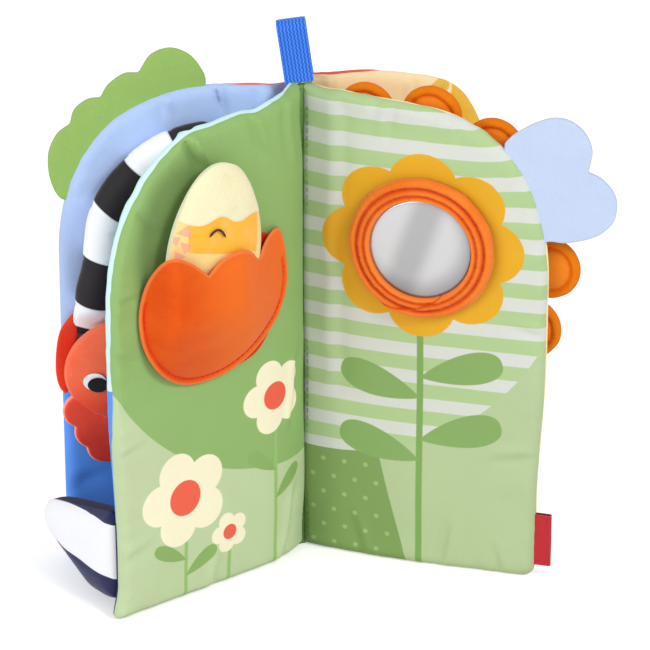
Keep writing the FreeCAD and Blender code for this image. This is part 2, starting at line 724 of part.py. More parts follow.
doc.recompute()
for item in doc.Objects:
    if "Invalid" in item.State or "Error" in item.State:
        raise RuntimeError("%s failed: %s" % (item.Label, item.State))
for part in NODES:
    if part.Shape.isNull() or not part.Shape.isValid() or not part.Shape.Solids:
        raise RuntimeError("%s has no valid solid" % part.Label)

os.makedirs("parts", exist_ok=True)
for part in NODES:
    part.Shape.exportStep("parts/%s.step" % part.Label)
print("%d sub-parts written" % len(NODES))
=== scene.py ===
import functools
import math

import bpy
import numpy as np
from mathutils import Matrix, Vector
from mathutils.geometry import delaunay_2d_cdt


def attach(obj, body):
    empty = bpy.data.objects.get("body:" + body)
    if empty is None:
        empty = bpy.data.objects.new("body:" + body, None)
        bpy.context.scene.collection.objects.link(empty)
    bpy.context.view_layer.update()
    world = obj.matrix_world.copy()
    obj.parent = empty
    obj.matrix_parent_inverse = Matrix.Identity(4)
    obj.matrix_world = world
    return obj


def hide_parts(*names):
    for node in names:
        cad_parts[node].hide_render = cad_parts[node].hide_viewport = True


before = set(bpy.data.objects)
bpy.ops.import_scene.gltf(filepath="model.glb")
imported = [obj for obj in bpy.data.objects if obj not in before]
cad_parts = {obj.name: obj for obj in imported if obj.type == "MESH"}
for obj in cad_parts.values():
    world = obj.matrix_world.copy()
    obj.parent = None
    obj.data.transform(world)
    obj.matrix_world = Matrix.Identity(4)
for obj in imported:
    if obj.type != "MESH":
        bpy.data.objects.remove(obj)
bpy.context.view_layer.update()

MM = 0.001
LEAF_WIDTH, LEAF_HEIGHT, LEAF_THICK = 110.0, 220.0, 8.0


# ---------------- numbers and noise

def ease(x):
    """0 below 0, 1 above 1, and smooth between."""
    x = np.clip(x, 0, 1)
    return x * x * (3 - 2 * x)


def hashed(ix, iy, seed):
    """A number from -1 to 1 for each whole (ix, iy), the same each run."""
    n = ix.astype(np.uint32) * np.uint32(374761393) + iy.astype(np.uint32) * np.uint32(668265263)
    n = n + np.uint32(seed * 974711)
    n = (n ^ (n >> np.uint32(13))) * np.uint32(1274126177)
    return ((n ^ (n >> np.uint32(16))) & np.uint32(0xFFFF)) / 32767.5 - 1


def noise(x, y, size, seed):
    """Smooth noise from -1 to 1, the same each run, with features of that size."""
    x, y = np.broadcast_arrays(np.asarray(x, float) / size, np.asarray(y, float) / size)
    ix, iy = np.floor(x).astype(np.int64), np.floor(y).astype(np.int64)
    fx, fy = ease(x - ix), ease(y - iy)
    low = hashed(ix, iy, seed) * (1 - fx) + hashed(ix + 1, iy, seed) * fx
    high = hashed(ix, iy + 1, seed) * (1 - fx) + hashed(ix + 1, iy + 1, seed) * fx
    return low * (1 - fy) + high * fy


def run(line):
    """How far along a line each of its points is."""
    return np.concatenate([[0], np.cumsum(np.linalg.norm(np.diff(line, axis=0), axis=1))])


def unit(vectors):
    """The vectors at length 1."""
    return vectors / np.linalg.norm(vectors, axis=-1, keepdims=True)


def circle(count):
    """The cosines and the sines of a full turn in that many steps."""
    turn = np.linspace(0, math.tau, count, endpoint=False)
    return np.cos(turn), np.sin(turn)


def resample(points, fractions):
    """Points at those fractions of a line's length."""
    along = run(points)
    at = np.asarray(fractions) * along[-1]
    return np.stack([np.interp(at, along, column) for column in points.T], 1)


def bell(x, middle, width):
    """1 at the middle, and falling to nothing some widths away."""
    return np.exp(-((x - middle) / width) ** 2)


def nearest(points, line):
    """Distance from each point to the nearest point of a dense line, and that point's index."""
    far, index = np.empty(len(points)), np.empty(len(points), int)
    for first in range(0, len(points), 2000):
        block = points[first:first + 2000]
        d = ((block[:, None, :] - line[None]) ** 2).sum(2)
        index[first:first + 2000] = d.argmin(1)
        far[first:first + 2000] = np.sqrt(d.min(1))
    return far, index


# ---------------- leaves as coordinates

class Leaf:
    """One leaf: an arc out of the gutter, then a flat stretch."""

    def __init__(self, body, root, heading, turn, bend, side, start, width=LEAF_WIDTH, foot=6.0):
        self.body, self.side, self.bend, self.start = body, side, bend, start
        self.width, self.foot = width, foot
        self.root = np.array(root, float)
        self.turn, self.flat = math.radians(turn), math.radians(heading)
        self.arc = self.turn * bend
        self.table_u = np.linspace(0, LEAF_WIDTH + 20, 500)
        flat_way = np.array([math.cos(self.flat), math.sin(self.flat)])
        self.table_x = (self.at(self.table_u, 0, 0)[:, :2] - self.root) @ flat_way

    def back(self, angle):
        return self.side * np.stack([-np.sin(angle), np.cos(angle)], -1)

    def angle(self, u):
        return self.flat - self.side * np.maximum(self.arc - u, 0) / self.bend

    def at(self, u, w, z):
        u, w, z = np.broadcast_arrays(*(np.asarray(v, float) for v in (u, w, z)))
        angle = self.angle(u)
        along = np.stack([np.cos(angle), np.sin(angle)], -1)
        centre = self.root + self.back(np.array(self.flat - self.side * self.turn)) * self.bend
        plan = centre - self.back(angle) * self.bend
        plan = plan + along * np.maximum(u - self.arc, 0)[..., None]
        plan = plan + self.back(angle) * w[..., None]
        return np.concatenate([plan, z[..., None]], -1)

    def outlook(self, u=70.0):
        """The direction that the reading face looks in at that u."""
        return -np.append(self.back(self.angle(np.array(u))), 0)


LEFT_PAGE = Leaf("root", (0, 0), 218.9, 31.7, 53.0, -1, 1.3, foot=3.2)
RIGHT_PAGE = Leaf("root", (0, 0), -15.4, 10.0, 348.0, 1, 1.3)
FRONT_COVER = Leaf("front_cover", (-1.073, 8.871), 191.0, 0, 1, -1, 0.3, 106.0)
BACK_COVER = Leaf("back_cover", (3.347, 9.682), 24.0, 0, 1, 1, 0.3, 88.0)


def outline(leaf, inset):
    """The leaf's foot, outer edge and crown as three lines of (u, z), inset by that much. The foot
    and the crown run out from the spine, and the outer edge runs up."""
    width = np.interp(leaf.width, leaf.table_u, leaf.table_x)
    begin = np.interp(leaf.start, leaf.table_u, leaf.table_x)
    crown, shoulder, foot = 5 * width, 0.53 * width, leaf.foot
    first = math.radians(5.7)
    second = math.asin(math.sin(first) * (crown - shoulder) / (width - shoulder))
    middle = 0.62 * second
    crown_z = LEAF_HEIGHT - crown
    shoulder_x = (crown - shoulder) * math.sin(first)
    shoulder_z = crown_z + (crown - shoulder) * math.cos(first)
    edge_x = shoulder_x + (shoulder - width) * math.sin(second)
    edge_z = shoulder_z + (shoulder - width) * math.cos(second)

    def arc(x, z, radius, start, end):
        turn, reach = np.linspace(start, end, 40), radius - inset
        return np.stack([x + reach * np.sin(turn), z + reach * np.cos(turn)], 1)

    half, toe = math.pi / 2, (width - foot, foot, foot)
    lines = [np.concatenate([[[begin, inset]], arc(*toe, 2 * half, 1.5 * half)]),
             np.concatenate([arc(*toe, 1.5 * half, half),
                             arc(edge_x, edge_z, width, half, second),
                             arc(shoulder_x, shoulder_z, shoulder, second, middle)]),
             np.concatenate([arc(0, crown_z, crown, math.asin(begin / (crown - inset)), first),
                             arc(shoulder_x, shoulder_z, shoulder, first, middle)])]
    for line in lines:
        line[:, 0] = np.interp(line[:, 0], leaf.table_x, leaf.table_u)
    return lines


# ---------------- meshes

def piece(name, points, faces, body, material, replaces=(), attributes=(), padded=None):
    """A mesh object from points in millimetres that rides on a body."""
    mesh = bpy.data.meshes.new(name)
    mesh.from_pydata((np.asarray(points) * MM).tolist(), [], [tuple(map(int, f)) for f in faces])
    mesh.polygons.foreach_set("use_smooth", [True] * len(mesh.polygons))
    for label, values in dict(attributes).items():
        layer = mesh.attributes.new(label, "FLOAT_VECTOR", "POINT")
        layer.data.foreach_set("vector", np.asarray(values, np.float32).ravel())
    mesh.validate()
    obj = bpy.data.objects.new(name, mesh)
    bpy.context.scene.collection.objects.link(obj)
    mesh.materials.append(material)
    if body:
        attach(obj, body)
    if replaces:
        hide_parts(*replaces)
    return obj


def grid_faces(rows, columns, first=0, ring=False):
    """Quads of a grid of points stored row by row; ring joins the last column to the first."""
    row = np.arange(rows - 1)[:, None]
    column = np.arange(columns if ring else columns - 1)[None]
    after = (column + 1) % columns
    a, b = row * columns + column, row * columns + after
    quads = np.stack([a, b, b + columns, a + columns], -1).reshape(-1, 4)
    return (quads + first).tolist()


def tube_faces(rows, columns, first=0):
    """Quads round a tube of points stored ring by ring, and a face over each of its ends."""
    last = first + (rows - 1) * columns
    ends = [list(range(first, first + columns))[::-1], list(range(last, last + columns))]
    return grid_faces(rows, columns, first, ring=True) + ends


def facing(points, faces, way):
    """The faces, turned over if most of them look against that direction."""
    quad = points[np.array([f[:3] for f in faces])]
    normal = np.cross(quad[:, 1] - quad[:, 0], quad[:, 2] - quad[:, 0]).sum(0)
    return faces if normal @ way > 0 else [f[::-1] for f in faces]


def triangles(faces):
    """The faces cut into triangles."""
    if isinstance(faces, np.ndarray):
        return faces
    return np.array([(f[0], b, c) for f in faces for b, c in zip(f[1:-1], f[2:])])


def outward(points, faces):
    """The faces of a closed form, turned over if they look inward."""
    a, b, c = (points[triangles(faces)] - points.mean(0)).transpose(1, 0, 2)
    return faces if (a * np.cross(b, c)).sum() > 0 else [f[::-1] for f in faces]


# ---------------- shader arithmetic

def linear(color):
    """Screen colour, 0 to 255, as the shader wants it, with its alpha."""
    c = np.array(color, float) / 255
    return (*np.where(c <= 0.04045, c / 12.92, ((c + 0.055) / 1.055) ** 2.4), 1)


def node(tree, kind, inputs, **settings):
    """A new shader node. Each input named gets a number, or a link from a socket."""
    made = tree.nodes.new("ShaderNode" + kind)
    for name, value in settings.items():
        setattr(made, name, value)
    for name, value in inputs.items():
        if isinstance(value, bpy.types.NodeSocket):
            tree.links.new(value, made.inputs[name])
        else:
            made.inputs[name].default_value = value
    return made


class Value:
    """A shader value; arithmetic on it adds Math nodes."""

    def __init__(self, tree, socket):
        self.tree, self.socket = tree, socket

    def math(self, operation, *others):
        values = [v.socket if isinstance(v, Value) else v for v in (self, *others)]
        made = node(self.tree, "Math", dict(enumerate(values)), operation=operation)
        return Value(self.tree, made.outputs[0])

    def __add__(self, other):
        return self.math("ADD", other)

    def __sub__(self, other):
        return self.math("SUBTRACT", other)

    def __mul__(self, other):
        return self.math("MULTIPLY", other)

    def __truediv__(self, other):
        return self.math("DIVIDE", other)

    def __mod__(self, other):
        return self.math("FLOORED_MODULO", other)

    def __abs__(self):
        return self.math("ABSOLUTE")

    def sine(self):
        return self.math("SINE")

    def between(self, low, high):
        """0 at low and 1 at high, and smooth between."""
        limits = {"Value": self.socket, "From Min": low, "From Max": high}
        made = node(self.tree, "MapRange", limits, interpolation_type="SMOOTHSTEP")
        return Value(self.tree, made.outputs["Result"])

    def above(self, edge, soft=0.25):
        """0 below the edge and 1 above it, over twice soft."""
        return self.between(edge - soft, edge + soft)

    def below(self, edge, soft=0.25):
        return self.above(edge, soft).invert()

    def invert(self):
        return self.math("MULTIPLY_ADD", -1.0, 1.0)

    def either(self, other):
        return self.math("MAXIMUM", other)


def length(x, y):
    """How long a shader vector is."""
    return (x * x + y * y).math("SQRT")


class Cloth:
    """A cloth material in the making: a Principled shader, its colour and its bumps."""

    def __init__(self, name, color, rough=0.85, sheen=0.25, sheen_rough=0.4, specular=0.25):
        self.material = bpy.data.materials.new(name)
        self.material.use_nodes = True
        self.tree = self.material.node_tree
        self.shader = self.tree.nodes["Principled BSDF"]
        for socket, value in (("Roughness", rough), ("Sheen Weight", sheen),
                              ("Sheen Roughness", sheen_rough), ("Specular IOR Level", specular)):
            self.shader.inputs[socket].default_value = value
        self.place = self.node("TexCoord", {}).outputs["Object"]
        flat = self.node("RGB", {})
        flat.outputs[0].default_value = linear(color)
        self.color, self.normal = flat.outputs[0], None

    def node(self, kind, inputs, **settings):
        return node(self.tree, kind, inputs, **settings)

    def attribute(self, name):
        """The three numbers stored on the mesh under that name."""
        stored = self.node("Attribute", {}, attribute_name=name)
        split = self.node("SeparateXYZ", {0: stored.outputs["Vector"]})
        return [Value(self.tree, output) for output in split.outputs]

    def noise(self, size, detail=2.0, stretch=(1, 1, 1)):
        """Noise with features of that size in millimetres."""
        scale = [1 / MM / size / s for s in stretch]
        place = self.node("Mapping", {"Vector": self.place, "Scale": scale}).outputs[0]
        made = self.node("TexNoise", {"Vector": place, "Scale": 1.0, "Detail": detail})
        return Value(self.tree, made.outputs["Fac"])

    def paint(self, mask, color):
        """Lays a colour over the cloth where the mask is 1."""
        layers = {0: mask.socket, 6: self.color, 7: linear(color)}
        self.color = self.node("Mix", layers, data_type="RGBA").outputs[2]

    def shade(self, amount, low, high):
        """Multiplies the colour by low to high as amount goes from 0 to 1."""
        grey = amount.math("MULTIPLY_ADD", high - low, low)
        layers = {0: 1.0, 6: self.color, 7: grey.socket}
        made = self.node("Mix", layers, data_type="RGBA", blend_type="MULTIPLY")
        self.color = made.outputs[2]

    def bump(self, height, strength, distance):
        """Adds relief; distance is in millimetres."""
        inputs = {"Strength": strength, "Distance": distance * MM, "Height": height.socket}
        if self.normal:
            inputs["Normal"] = self.normal
        self.normal = self.node("Bump", inputs).outputs[0]

    def done(self):
        self.tree.links.new(self.color, self.shader.inputs["Base Color"])
        if self.normal:
            self.tree.links.new(self.normal, self.shader.inputs["Normal"])
        return self.material


# ---------------- padded leaves

COLUMNS, ROWS = 84, 168
GRID_INSET = 3.0
# The rim's section from the reading face round to the back: (inset, depth).
RIM = [(3.0, 0.35), (2.1, 0.7), (1.2, 1.3), (0.5, 2.0), (0.15, 2.8), (0.15, 3.4), (0.5, 4.1),
       (1.1, 4.8), (2.0, 5.4), (3.0, 5.9)]
# The same where the back cloth bulges past the seam.
FULL_RIM = [(3.4, 0.35), (2.8, 0.7), (2.1, 1.3), (1.3, 2.0), (0.7, 2.8), (0.3, 3.6), (0.1, 4.4),
            (0.3, 5.2), (0.9, 6.0), (1.9, 6.7), (3.0, 7.1)]
# The same between those two.
SLIM_RIM = [(3.0, 0.35), (2.2, 0.7), (1.3, 1.3), (0.6, 2.0), (0.2, 2.8), (0.1, 3.4), (0.15, 4.1),
            (0.5, 4.9), (1.3, 5.7), (2.4, 6.2)]
FRONT_SHARES, BACK_SHARES = (0.12, 0.3, 0.5, 0.7, 0.87, 1.0), (0.25, 0.5, 0.75, 1.0)


def sides(leaf, inset):
    """The outline's three sides, sampled like the grid's edges."""
    foot, outer, crown = outline(leaf, inset)
    across, up = np.linspace(0, 1, COLUMNS), np.linspace(0, 1, ROWS)
    return resample(foot, across), resample(outer, up), resample(crown, across)


def rim_path(leaf, inset):
    """The outline from the foot of the spine round to its top."""
    foot, outer, crown = sides(leaf, inset)
    return np.concatenate([foot, outer[1:], crown[::-1][1:]])


def patch(leaf):
    """A grid of (u, z) points that fills the inset outline."""
    foot, outer, crown = sides(leaf, GRID_INSET)
    s, t = np.linspace(0, 1, COLUMNS)[None, :, None], np.linspace(0, 1, ROWS)[:, None, None]
    spine = foot[0] * (1 - t) + crown[0] * t
    ruled = foot[None] * (1 - t) + crown[None] * t + spine * (1 - s) + outer[:, None] * s
    corners = spine * (1 - s) + (foot[-1] * (1 - t) + crown[-1] * t) * s
    return (ruled - corners).reshape(-1, 2)


class Wrinkles:
    """Puckers along a leaf's seam, creases that run in from it, and soft unevenness. A fold is
    (start, end, width, height); a rest is (u, z, radius, side) of a piece that the face carries."""

    def __init__(self, leaf, seed, folds=(), rests=()):
        self.line = resample(rim_path(leaf, 0), np.linspace(0, 1, 900))
        self.along = run(self.line)
        self.seed, self.folds, self.rests = seed, folds, rests
        random = np.random.default_rng(seed)
        count = 34
        self.creases = np.stack([
            random.uniform(6, self.along[-1] - 6, count), random.uniform(6, 24, count),
            random.uniform(0.12, 0.5, count) * random.choice([-1, 1], count),
            random.uniform(2.0, 4.2, count), random.uniform(-0.5, 0.5, count)], 1)

    def quiet(self, uz, front):
        """0 under a piece that the cloth carries, and 1 away from it."""
        free = np.ones(len(uz))
        for u, z, radius, side in self.rests:
            if side == front:
                free *= ease((np.hypot(uz[:, 0] - u, uz[:, 1] - z) - radius) / 9)
        return free

    def depth(self, uz, front):
        """How far the cloth moves into the leaf at each (u, z), its distance from the edge, and
        where along the edge it is."""
        edge, index = nearest(uz, self.line)
        s, seed = self.along[index], self.seed + (0 if front else 40)
        pucker = noise(s, 0, 5.2, seed) * 0.55 + noise(s, 0, 2.7, seed + 1) * 0.3
        move = pucker * 0.62 * bell(edge, 0, 5.5)
        for place, reach, height, width, skew in self.creases:
            off = (s - place - skew * edge) / (width * (1 + edge / reach))
            move = move + height * off * np.exp(-off ** 2 - (edge / reach) ** 2) * 1.6
        inner = ease(edge / 14)
        u, z = uz[:, 0], uz[:, 1]
        move = move + inner * (noise(u, z, 42, seed + 2) * 0.7 + noise(u, z, 17, seed + 3) * 0.25)
        for start, end, width, height in self.folds:
            reach = math.dist(start, end)
            way = np.subtract(end, start) / reach
            inward = (uz - start) @ way
            off = (uz - start) @ np.array([-way[1], way[0]])
            off = off + noise(inward, 0, 14, seed + 9) * 1.5
            ends = ease(inward / 9 + 0.5) * ease((reach - inward) / 14 + 0.5)
            move = move + height * ends * (off / width) * bell(off, 0, width) * 1.9
        return move * self.quiet(uz, front), edge, s


def rim_rings(leaf, seam, shares, front, rim):
    """The rings of (u, z, w) from a face's edge round to the seam, which lies at that depth."""
    base = rim_path(leaf, 0)
    step = np.gradient(base, axis=0)
    normal = unit(np.stack([-step[:, 1], step[:, 0]], 1))
    inset, depth = np.array(rim).T
    rings = []
    for share in shares:
        w = (depth[0] if front else depth[-1]) * (1 - share) + seam * share
        out = np.interp(w, depth, inset) + 0.5 * bell(w, seam, 0.5)
        ring = base + normal * out[:, None]
        ring[0, 0] = ring[-1, 0] = leaf.start
        if leaf.body != "root":
            # Near the spine a cover's two cloths lie flat against each other.
            flat = 1 - ease((ring[:, 0] - 1.5) / 12)
            w = w * (1 - flat) + (6.9 + 0.08 * w) * flat
        rings.append(np.concatenate([ring, w[:, None]], 1))
    return rings


def leaf_cloth(leaf, name, material, front, wrinkles, replaces, seams, rises, narrow):
    """One cloth face of a leaf. It runs round the rim to the seam, where the other face's cloth
    meets it, so the two close the leaf. seams is the seam's depth round the leaf, its depth near
    the spine up to that u, how much deeper it lies at the foot, and the rim's section. rises are
    (u, reach, height) along the top, and narrow is how much the foot of the outer edge draws in."""
    base = rim_path(leaf, 0)
    outer, inner, far, drop, rim = seams
    page = leaf.body == "root"
    high = ease((base[:, 1] - 120) / 40)
    seam = outer + (inner - outer) * (1 - ease((base[:, 0] - far) / 18)) * high
    seam = seam + 0.45 * noise(run(base), 0, 9.0, wrinkles.seed + 3)
    seam = np.minimum(seam + drop * ease((112 - base[:, 1]) / 60), 5.0)
    shares = FRONT_SHARES if front else BACK_SHARES
    rings = rim_rings(leaf, seam, shares, front, rim)
    interior = patch(leaf)
    uz = np.concatenate([interior] + [ring[:, :2] for ring in rings])
    count, path = len(interior), len(base)
    move, edge, s = wrinkles.depth(uz, front)
    swell = 0.6 * ease((edge - 2) / 26) * wrinkles.quiet(uz, front)
    u, z = uz.T
    if front and page:
        u = u - 1.28 * np.exp(-(u - leaf.start) / 3.0)
    if front:
        w = 0.35 * (1 - np.clip((edge - 3) / 2.5, 0, 1)) ** 2 - swell + move
        if page:
            w = w + 1.1 * np.exp(-(u - 0.02) / 0.7)
        else:
            w = np.minimum(w + (LEAF_THICK - 2.2) * (1 - ease((u - 1.5) / 12)), LEAF_THICK - 1.2)
    else:
        w = LEAF_THICK - 2.1 * (1 - np.clip((edge - 3) / 7, 0, 1)) ** 2 + swell + move
    for k, (ring, share) in enumerate(zip(rings, shares)):
        part = slice(count + k * path, count + (k + 1) * path)
        w[part] = ring[:, 2] + move[part] * 0.8 * (1 - share)
    w[-path:] = rings[-1][:, 2] + noise(s[-path:], 0, 4.0, wrinkles.seed + 7) * 0.25
    wobble = noise(s, 0, 6.0, wrinkles.seed + 5) * 0.35 * bell(edge, 0, 3)
    z = np.maximum(z + wobble * ease((u - leaf.start) / 8) * (z > 20), 0.15)
    top = ease((z - 150) / 60)
    for place, reach, rise in rises:
        z = z + top * rise * bell(u, place, reach)
    low = ease((105 - z) / 70)
    u = u - narrow * ease((u - 40) / 60) * (low if leaf is RIGHT_PAGE else low * ease(z / 16))
    points = leaf.at(u, w, z)

    faces = facing(points, grid_faces(ROWS, COLUMNS), leaf.outlook() * (1 if front else -1))
    before = np.concatenate([np.arange(COLUMNS), np.arange(1, ROWS) * COLUMNS + COLUMNS - 1,
                             (ROWS - 1) * COLUMNS + np.arange(COLUMNS - 2, -1, -1)])
    strips = []
    for k in range(len(rings)):
        after = np.arange(path) + count + k * path
        strips += np.stack([before[:-1], before[1:], after[1:], after[:-1]], 1).tolist()
        before = after
    if faces[0][0] == 0:
        strips = [face[::-1] for face in strips]
    return piece(name, points, faces + strips, leaf.body, material, replaces,
                 {"page": np.stack([u, uz[:, 1], edge], 1)}, 0.35)


# ---------------- printed pages

def petals(u, z, centre, count, distance, radius):
    """1 inside a printed flower of round petals, the first one pointing along u."""
    du, dz = u - centre[0], z - centre[1]
    part = math.tau / count
    turn = (dz.math("ARCTAN2", du) + part / 2) % part - part / 2
    reach = length(du, dz)
    return disc(reach * turn.math("COSINE"), reach * turn.sine(), (distance, 0), radius)


def disc(u, z, centre, radius, stretch=1.0):
    """1 inside a printed disc, or an oval that is longer along u."""
    return length((u - centre[0]) / stretch, z - centre[1]).below(radius)


def stalk(u, z, foot, top, half):
    """1 on a printed upright stem, by its half width."""
    return abs(u - foot).below(half) * z.below(top)


def leaf_shape(u, z, foot, way, reach, half):
    """1 inside a printed leaf that runs from its foot along way, by its length and half width."""
    c, s = math.cos(math.radians(way)), math.sin(math.radians(way))
    along = (u - foot[0]) * c + (z - foot[1]) * s
    off = (z - foot[1]) * c - (u - foot[0]) * s
    share = along / reach
    tip = share.invert().math("MAXIMUM", 0.0).math("POWER", 0.42)
    inside = (share.math("POWER", 0.9) * tip * (2.1 * half) - abs(off)).above(0.0)
    return inside * share.above(0.0, 0.002) * share.below(0.998, 0.002)


def page_cloth(name, color, prints):
    """A printed page: prints is called with the cloth and its u and z."""
    cloth = Cloth(name, color, rough=0.62, sheen=0.12, sheen_rough=0.35, specular=0.35)
    u, z, edge = cloth.attribute("page")
    prints(cloth, u, z)
    cloth.shade(edge.between(0.4, 5.0), 0.97, 1.0)
    pitch = math.tau / 0.8
    cloth.bump((u * pitch).sine() * (z * pitch).sine(), 0.22, 0.06)
    cloth.bump(cloth.noise(6.0, 3.0), 0.3, 0.4)
    cloth.shade(cloth.noise(30.0, 2.0), 0.96, 1.03)
    cloth.shade(cloth.noise(0.9, 2.0), 0.97, 1.03)
    return cloth.done()


MID_GREEN, PALE_GREEN = (143, 180, 106), (190, 208, 162)
# The ring of nine mane petals on the right page, and their middles.
MANE_MIDDLE, MANE_REACH = (44, 146), 64
MANE = [(MANE_MIDDLE[0] + MANE_REACH * math.cos(turn), MANE_MIDDLE[1] + MANE_REACH * math.sin(turn))
        for turn in (math.radians(107 - 27 * k) for k in range(9))]


def left_print(cloth, u, z):
    """Two green fields, blossoms of five petals on thin stems, and a painted shadow round the
    chick, deepest on its outer side.
    """
    cloth.paint(disc(u, z, (12.4, 158.8), 108.9), MID_GREEN)
    for foot, top in ((24, 84), (74, 48), (50, 26)):
        cloth.paint(stalk(u, z, foot, top, 0.9), (150, 190, 112))
    for centre, size in (((24, 84), 1.25), ((50, 26), 0.7), ((74, 50), 1.6)):
        cloth.paint(petals(u, z, centre, 5, 8.2 * size, 6.0 * size), (247, 240, 208))
        cloth.paint(disc(u, z, centre, 5.2 * size), (238, 96, 70))
    for foot, way in (((24, 34), 140), ((24, 48), 38), ((74, 12), 150), ((74, 20), 30)):
        cloth.paint(leaf_shape(u, z, foot, way, 19, 3.8), (138, 174, 98))
    # Painted shadow: the page is darkened round the chick, most on its outer side, where the
    # chick's shadow falls.
    painted_chick_shadow = length((u - 70.5) / 25.5, (z - 165.0) / 40.0)
    cloth.shade(painted_chick_shadow.between(0.83, 1.2), 0.6, 1.0)


def right_print(cloth, u, z):
    """Stripes over a pale hill, a darker bank with dots, and a tall flower with leaves set by
    turns on its stem. The stripes draw together upwards, and sag near the outer edge."""
    level = z - u.between(75.0, 100.0) * z.between(140.0, 184.0) * 1.8
    phase = level * (level * -0.0000193 + 0.08063) - 16.0055
    band = abs(phase % 1.0 - 0.25).below(0.238, 0.018)
    cloth.paint(band * z.below(215.4, 0.1), (208, 212, 204))
    land = disc(u, z, (10.3, 161.0), 109.7).invert()
    cloth.paint(land, (176, 195, 148))
    bank = (z.math("MULTIPLY_ADD", -0.25, 49.0) - u).above(0.0)
    cloth.paint(bank * land, (124, 156, 86))
    for row in range(6):
        for column in range(4):
            spot = (5 + column * 10 + (row % 2) * 5, 5 + row * 8.2)
            if spot[0] < 46 - 0.25 * spot[1]:
                cloth.paint(disc(u, z, spot, 1.1), (152, 184, 116))
    cloth.paint(stalk(u, z, 54.6, 113.0, 1.45), (122, 162, 84))
    for foot, way in ((92, 16), (82, 164), (62, 16), (52, 164)):
        cloth.paint(leaf_shape(u, z, (54.6, foot), way, 38, 8.2), (130, 166, 94))
    across, up = (u - 54.7) * 0.972, (z - 154.2) * 1.035
    cloth.paint(petals(across, up, (0, 0), 8, 28.8, 14.9), (221, 166, 20))
    # Painted shade: the flower's petals are darkened next to the padded ring, where its shade
    # falls.
    cloth.shade(length(across, up).between(31.0, 37.5), 0.9, 1.0)
    # Painted shade: the page is darkened near the gutter, where shade falls in the fold.
    cloth.shade(u.between(8.0, 21.0), 0.85, 1.0)


def front_inside_print(cloth, u, z):
    """Sky over sea."""
    swell = (u * 0.16).sine() * 0.8
    cloth.paint((z + swell).below(98.0), (92, 158, 255))


def back_inside_print(cloth, u, z):
    """A pale field with a mustard sun at the outer edge and one small spot."""
    cloth.paint(disc(u, z, (90, 196), 24.0), (232, 184, 52))
    cloth.paint(disc(u, z, (62, 208), 3.6, 1.5), (228, 186, 62))
    cloth.paint(disc(u, z, (40, 60), 36.0, 1.3), (244, 205, 130))


def back_field_print(cloth, u, z):
    """A plain mustard disc in the ring of mane petals."""
    cloth.paint(disc(u, z, MANE_MIDDLE, 48.0), (240, 190, 80))


def left_back_print(cloth, _, z):
    """Pale sky, sea and deep sea."""
    cloth.paint(z.below(109.5), (84, 150, 240))
    cloth.paint(z.below(46.0), (44, 52, 96))


def outer_print(cloth, u, z):
    """Coral cloth with a sparse grid of paler dots."""
    cloth.paint(disc(u % 22.0, z % 22.0, (11, 11), 2.6), (244, 160, 140))


